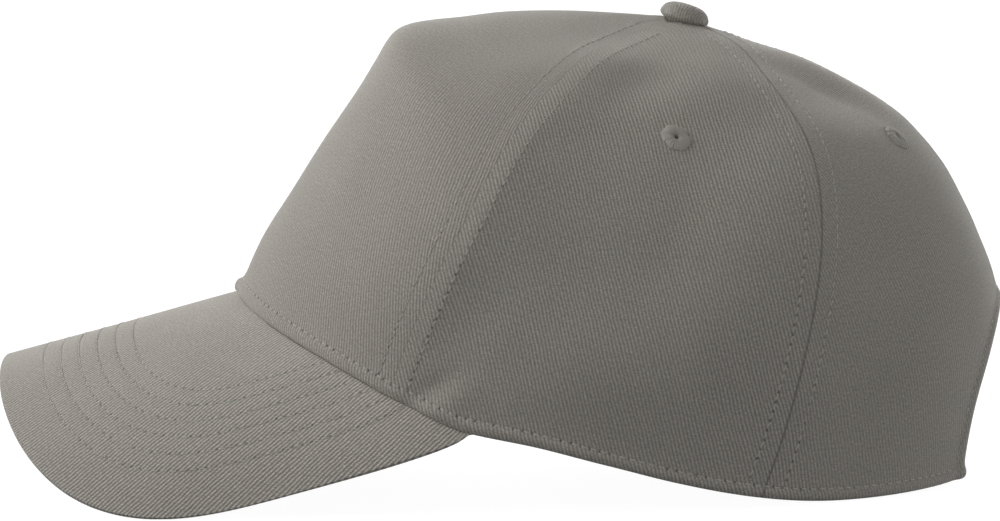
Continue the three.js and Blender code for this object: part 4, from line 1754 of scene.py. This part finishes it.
@dataclass
class Button:
    """The covered button where the seams meet."""

    surface: CrownSurface
    finish: TwillFinish = TwillFinish("button_twill", rib_lean=math.radians(80.0),
                                      groove_shade=0.72, ridge_shade=1.12)
    radius: float = 6.9
    dome: float = 3.6
    skirt: float = 1.25
    tilt: float = math.radians(18.0)
    gap: float = 0.5
    behind: float = 1.0
    rings: int = 26
    sides: int = 96

    # The rings below the dome: the share of the radius, then how far down in skirts.
    HEM = ((0.985, 0.28), (0.94, 0.62), (0.86, 0.94), (0.72, 1.15), (0.66, 2.6), (0.0, 2.6))

    def build(self) -> None:
        """Builds the button as a puffy cap of cloth that is drawn in underneath."""
        rise = np.linspace(0.0, 1.0, self.rings)[:, None]
        turn = np.linspace(0.0, math.tau, self.sides + 1)[None, :-1]
        out = np.cos(rise * math.pi / 2) ** 0.66
        pleat = 0.10 * np.sin(9 * turn + 0.8) * (1 - rise) ** 3
        radius = self.radius * out * (1 + 0.015 * np.sin(3 * turn)) + pleat - 0.1
        height = self.dome * np.sin(rise * math.pi / 2) * np.ones_like(turn)
        height = height + 0.08 * np.sin(2 * turn + 0.5) * out
        top = np.stack([radius * np.cos(turn), radius * np.sin(turn), height], axis=-1)
        hem = []
        for share, drop in self.HEM:
            reach = self.radius * share - 0.1 * (share > 0)
            ring = np.stack([reach * np.cos(turn[0]), reach * np.sin(turn[0]),
                             np.full(self.sides, -drop * self.skirt)], axis=-1)
            hem.insert(0, ring)
        grid = np.concatenate([np.stack(hem), top])
        weave = grid.copy()
        stretch = np.linalg.norm(grid[..., :2], axis=-1, keepdims=True)
        weave[..., :2] *= 1 + 0.35 * (stretch / self.radius) ** 4
        weave[..., 2] = grid[..., 2] * 1.2
        number = np.arange(grid.shape[0] * self.sides).reshape(grid.shape[:2])
        after = np.roll(number, -1, axis=1)
        faces = np.stack([number[:-1], after[:-1], after[1:], number[1:]], axis=-1).reshape(-1, 4)
        lean = Matrix.Rotation(-self.tilt, 3, "X")
        up = lean @ Vector((0, 0, self.gap))
        points = grid.reshape(-1, 3) @ np.array(lean).T
        middle = np.array([0.0, self.surface.button_behind_middle + self.surface.shift_y + self.behind,
                           self.surface.height]) + np.array(up)
        notes = np.full((len(points), 3), 1e3)
        made = make_object("button_cloth", points + middle, faces,
                           {"weave": weave.reshape(-1, 3), "stitch": notes}, self.finish.material())
        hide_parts("button")
        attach(made, BODY)


@dataclass
class Eyelets:
    """The embroidered eyelets: a raised ring of radial threads round a small hole."""

    surface: CrownSurface
    crown: Crown
    finish: ThreadFinish = ThreadFinish("eyelet_thread", colour=(0.300, 0.282, 0.253), twist_pitch=0.6)
    radius: float = 4.0
    hole: float = 0.5
    barrel: float = 1.85
    rise: float = 0.85
    stretch: float = 0.09
    gap: float = 0.12
    threads: int = 26
    steps: int = 8

    # Share of the way from the hole to the rim of the ring, then the share of the rise.
    PROFILE = ((0.0, -0.9), (0.0, 0.0), (0.03, 0.35), (0.1, 0.68), (0.22, 0.92), (0.38, 1.0),
               (0.55, 0.97), (0.7, 0.86), (0.83, 0.66), (0.93, 0.4), (0.99, 0.12), (1.0, -0.12))

    def build(self) -> None:
        """Builds the four eyelets."""
        material = self.finish.material()
        for side in Side:
            for panel, (angle, _) in Crown.EYELETS.items():
                seat = self.crown.eyelet_seat(panel, side)
                seed = int(angle) + (side is Side.LEFT)
                self._eyelet(f"{panel}_eyelet_{side.word}", seat, seed, material)

    def _eyelet(self, name: str, seat: tuple[Array, Array], seed: int,
                material: bpy.types.Material) -> None:
        """Builds one eyelet.

        Args:
            name: The CAD node that it stands for.
            seat: The middle of its hole on the finished cloth, and the cloth's normal there.
            seed: The seed of its unevenness.
            material: The thread's material.
        """
        rng = np.random.default_rng(seed)
        columns = self.threads * self.steps
        turn = np.arange(columns) / columns * math.tau
        thread = np.arange(columns) // self.steps
        within = (np.arange(columns) % self.steps) / self.steps
        ridge = np.sqrt(np.clip(1 - (2 * within - 1) ** 2, 0.0, 1.0))
        reach = self.radius + rng.normal(0.0, 0.12, self.threads)[thread] - 0.1
        lift = 1 + rng.normal(0.0, 0.05, self.threads)[thread]
        rings = []
        for share, up in self.PROFILE:
            radius = mix(self.hole, reach, share) + 0.10 * (ridge - 0.7) * (share > 0.5) * share
            height = self.rise * up * np.where(up > 0, lift, 1.0)
            height = height + 0.20 * (ridge - 0.75) * max(up, 0.0)
            rings.append(np.stack([radius * np.cos(turn), radius * np.sin(turn), height], axis=-1))
        low = -self.surface.wall - self.gap
        walls = ((self.barrel, -0.12), (self.barrel, low), (self.hole, low), (self.hole, -0.9))
        for radius, height in walls:
            rings.append(np.stack([radius * np.cos(turn), radius * np.sin(turn),
                                   np.full(columns, height)], axis=-1))
        grid = np.stack(rings)
        grid[..., :2] += self.stretch * grid[..., 1::-1]
        number = np.arange(grid.shape[0] * columns).reshape(grid.shape[:2])
        after = np.roll(number, -1, axis=1)
        faces = np.stack([number[:-1], after[:-1], after[1:], number[1:]], axis=-1).reshape(-1, 4)
        normal = Vector(seat[1])
        centre = seat[0] + seat[1] * self.gap
        turned = np.array(Vector((0, 0, 1)).rotation_difference(normal).to_matrix())
        out = np.linalg.norm(grid[..., :2], axis=-1)
        # Half of each thread's tone differs at random; the other half is painted highlight, lightest
        # along the thread's rounded middle.
        tone = np.broadcast_to(rng.random(self.threads)[thread] * 0.5 + ridge * 0.5, out.shape)
        weave = np.stack([np.broadcast_to(within, out.shape), out, tone], axis=-1)
        made = make_object(f"{name}_threads", grid.reshape(-1, 3) @ turned.T + centre, faces,
                           {"weave": weave.reshape(-1, 3)}, material)
        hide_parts(name)
        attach(made, BODY)


@dataclass
class Strap:
    """The plain strap, drawn taut across the back opening."""

    surface: CrownSurface
    finish: TwillFinish = TwillFinish("strap_twill")
    height: float = 20.0
    above_rim: float = 2.0
    thickness: float = 2.0
    overlap: float = 11.0
    flat_half: float = 33.0
    ease: float = 4.0
    gap: float = 0.35

    # Grid places near the strap's edges, in millimetres.
    NEAR_EDGE = (0.0, 0.08, 0.28, 0.6, 1.0, 1.6, 2.6)

    def _inset_plan(self, angle: Array, inset: float) -> tuple[Array, Array]:
        """The rear rim seen from above, moved inwards.

        Args:
            angle: Angles round the cap in radians.
            inset: How far inwards.

        Returns:
            The places across and along.
        """
        x, y = self.surface.rim_plan(angle)
        next_x, next_y = self.surface.rim_plan(angle + TINY_STEP)
        length = np.hypot(next_x - x, next_y - y)
        return x - inset * (next_y - y) / length, y + inset * (next_x - x) / length

    def _plan(self, angle: Array, inset: float) -> Array:
        """The strap seen from above: round the inside of the cap, and flat across the opening.

        Args:
            angle: Angles round the cap in radians.
            inset: How far inside the rim.

        Returns:
            The places, with a last axis of 2.
        """
        half_width = self.surface.rim_width / 2
        x, y = self._inset_plan(angle, inset)
        flat_angle = np.asarray(math.pi - math.asin(self.flat_half / half_width))
        flat = float(self._inset_plan(flat_angle, inset)[1])
        share = np.clip(0.5 + 0.5 * (flat - y) / self.ease, 0.0, 1.0)
        return np.stack([x, mix(flat, y, share) - self.ease * share * (1 - share)], axis=-1)

    def build(self) -> None:
        """Builds the strap."""
        half_width = self.surface.rim_width / 2
        end = math.asin((self.surface.arch_width / 2 + self.overlap) / half_width)
        length = 2 * half_width * end
        share = spread(length, self.NEAR_EDGE, 1.0)
        angle = math.pi + mix(end, -end, share)
        bottom = float(self.surface.rim_height(np.asarray(math.pi))) + self.above_rim
        rise = spread(self.height, self.NEAR_EDGE, 1.0) * self.height
        middle = self.surface.wall + self.gap + self.thickness / 2
        across = np.minimum(share, 1 - share)[None, :] * length
        upward = np.minimum(rise, self.height - rise)[:, None]
        half = self.thickness / 2
        away = np.minimum(across, upward)
        inside = np.clip(half - away, 0.0, half)
        swell = np.sqrt(half ** 2 - inside ** 2)
        centre = self._plan(angle, middle)
        outward = unit(self._plan(angle, middle - 0.5) - self._plan(angle, middle + 0.5))
        grids = []
        for way in (1, -1):
            plan = centre[None] + outward[None] * (way * swell)[..., None]
            z = np.broadcast_to(bottom + rise[:, None], swell.shape)
            grids.append(np.concatenate([plan, z[..., None]], axis=-1))
        for grid in grids:
            grid[..., 1] += self.surface.shift_y
        run = np.broadcast_to(share * length, swell.shape)
        weave = np.stack([run, np.broadcast_to(rise[:, None], swell.shape), run * 0], axis=-1)
        notes = np.full(weave.shape, 1e3)
        points, faces, carried = two_faced(grids[0], grids[1], {"weave": weave, "stitch": notes})
        made = make_object("back_strap_cloth", points, faces, carried, self.finish.material())
        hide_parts("back_strap")
        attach(made, BODY)


@dataclass
class Studio:
    """The floor, the light and the camera."""

    azimuth: float = math.radians(92.5)
    elevation: float = math.radians(5.0)
    roll: float = math.radians(-1.6)
    distance: float = 1.6
    lens: float = 210.2
    target: tuple[float, float, float] = (0.0, 0.00038, 0.0596)
    floor_half: float = 20.0
    sky: Colour = (0.012, 0.012, 0.012)

    # Each sun: its name, the direction that it shines from, its strength and its angle in degrees.
    SUNS = (
        ("key_light", (-0.10, -0.75, 0.64), 1.36, 60.0),
        ("front_light", (0.19, -0.87, 0.46), 1.50, 60.0),
        ("far_front_light", (-0.57, -0.60, 0.56), 0.42, 60.0),
        ("far_side_light", (-0.84, -0.45, 0.25), 0.45, 60.0),
        ("far_light", (-0.99, -0.09, 0.10), 2.40, 60.0),
        ("far_rear_light", (-0.87, 0.48, 0.05), 1.60, 60.0),
        ("rear_light", (-0.18, 0.98, 0.01), 0.85, 60.0),
        ("near_light", (0.96, 0.26, 0.06), 1.07, 60.0),
        ("near_rear_light", (0.66, 0.74, 0.12), 0.20, 60.0),
        ("top_light", (0.16, 0.0, 0.99), 0.15, 60.0),
    )

    def build(self) -> None:
        """Sets up the floor, the lights and the camera."""
        half = self.floor_half
        corners = np.array([[-half, -half, 0], [half, -half, 0], [half, half, 0], [-half, half, 0]])
        mesh = bpy.data.meshes.new("floor")
        mesh.from_pydata(corners.tolist(), [], [(0, 1, 2, 3)])
        mesh.materials.append(PaleFinish().material())
        floor = bpy.data.objects.new("floor", mesh)
        floor.visible_diffuse = False
        bpy.context.scene.collection.objects.link(floor)
        self._light()
        self._camera()

    def _light(self) -> None:
        """Adds the suns and the even light of the sky."""
        scene = bpy.context.scene
        for name, direction, strength, angle in self.SUNS:
            data = bpy.data.lights.new(name, "SUN")
            data.energy = strength
            data.angle = math.radians(angle)
            sun = bpy.data.objects.new(name, data)
            sun.rotation_euler = Vector(direction).to_track_quat("Z", "Y").to_euler()
            scene.collection.objects.link(sun)
        world = bpy.data.worlds.new("sky")
        world.use_nodes = True
        world.node_tree.nodes["Background"].inputs["Color"].default_value = shade(self.sky)
        scene.world = world
        scene.view_settings.view_transform = "Standard"

    def _camera(self) -> None:
        """Adds the camera at the photograph's angle."""
        a, e, r = self.azimuth, self.elevation, self.roll
        back = Vector((math.sin(a) * math.cos(e), -math.cos(a) * math.cos(e), math.sin(e)))
        right = Vector((math.cos(a), math.sin(a), 0.0))
        up = back.cross(right)
        rolled_right = right * math.cos(r) + up * math.sin(r)
        rolled_up = up * math.cos(r) - right * math.sin(r)
        data = bpy.data.cameras.new("camera")
        data.lens = self.lens
        data.sensor_width = 36.0
        data.clip_end = 100.0
        camera = bpy.data.objects.new("camera", data)
        turned = Matrix((rolled_right, rolled_up, back)).transposed().to_4x4()
        camera.matrix_world = Matrix.Translation(Vector(self.target) + back * self.distance) @ turned
        bpy.context.scene.collection.objects.link(camera)
        bpy.context.scene.camera = camera


def main() -> None:
    """Builds the cap piece by piece."""
    logging.basicConfig(level=logging.INFO, format="%(name)s %(message)s")
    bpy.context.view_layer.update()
    surface = CrownSurface(shift_y=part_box("front_panel")[0].y / MM + 102.0)
    sewing = Sewing()
    Studio().build()
    crown = Crown(surface, sewing)
    for part in (crown, Peak(surface, sewing), Button(surface),
                 Eyelets(surface, crown), Strap(surface)):
        LOG.info("building the %s", type(part).__name__.lower())
        part.build()


if __name__ == "__main__":
    main()
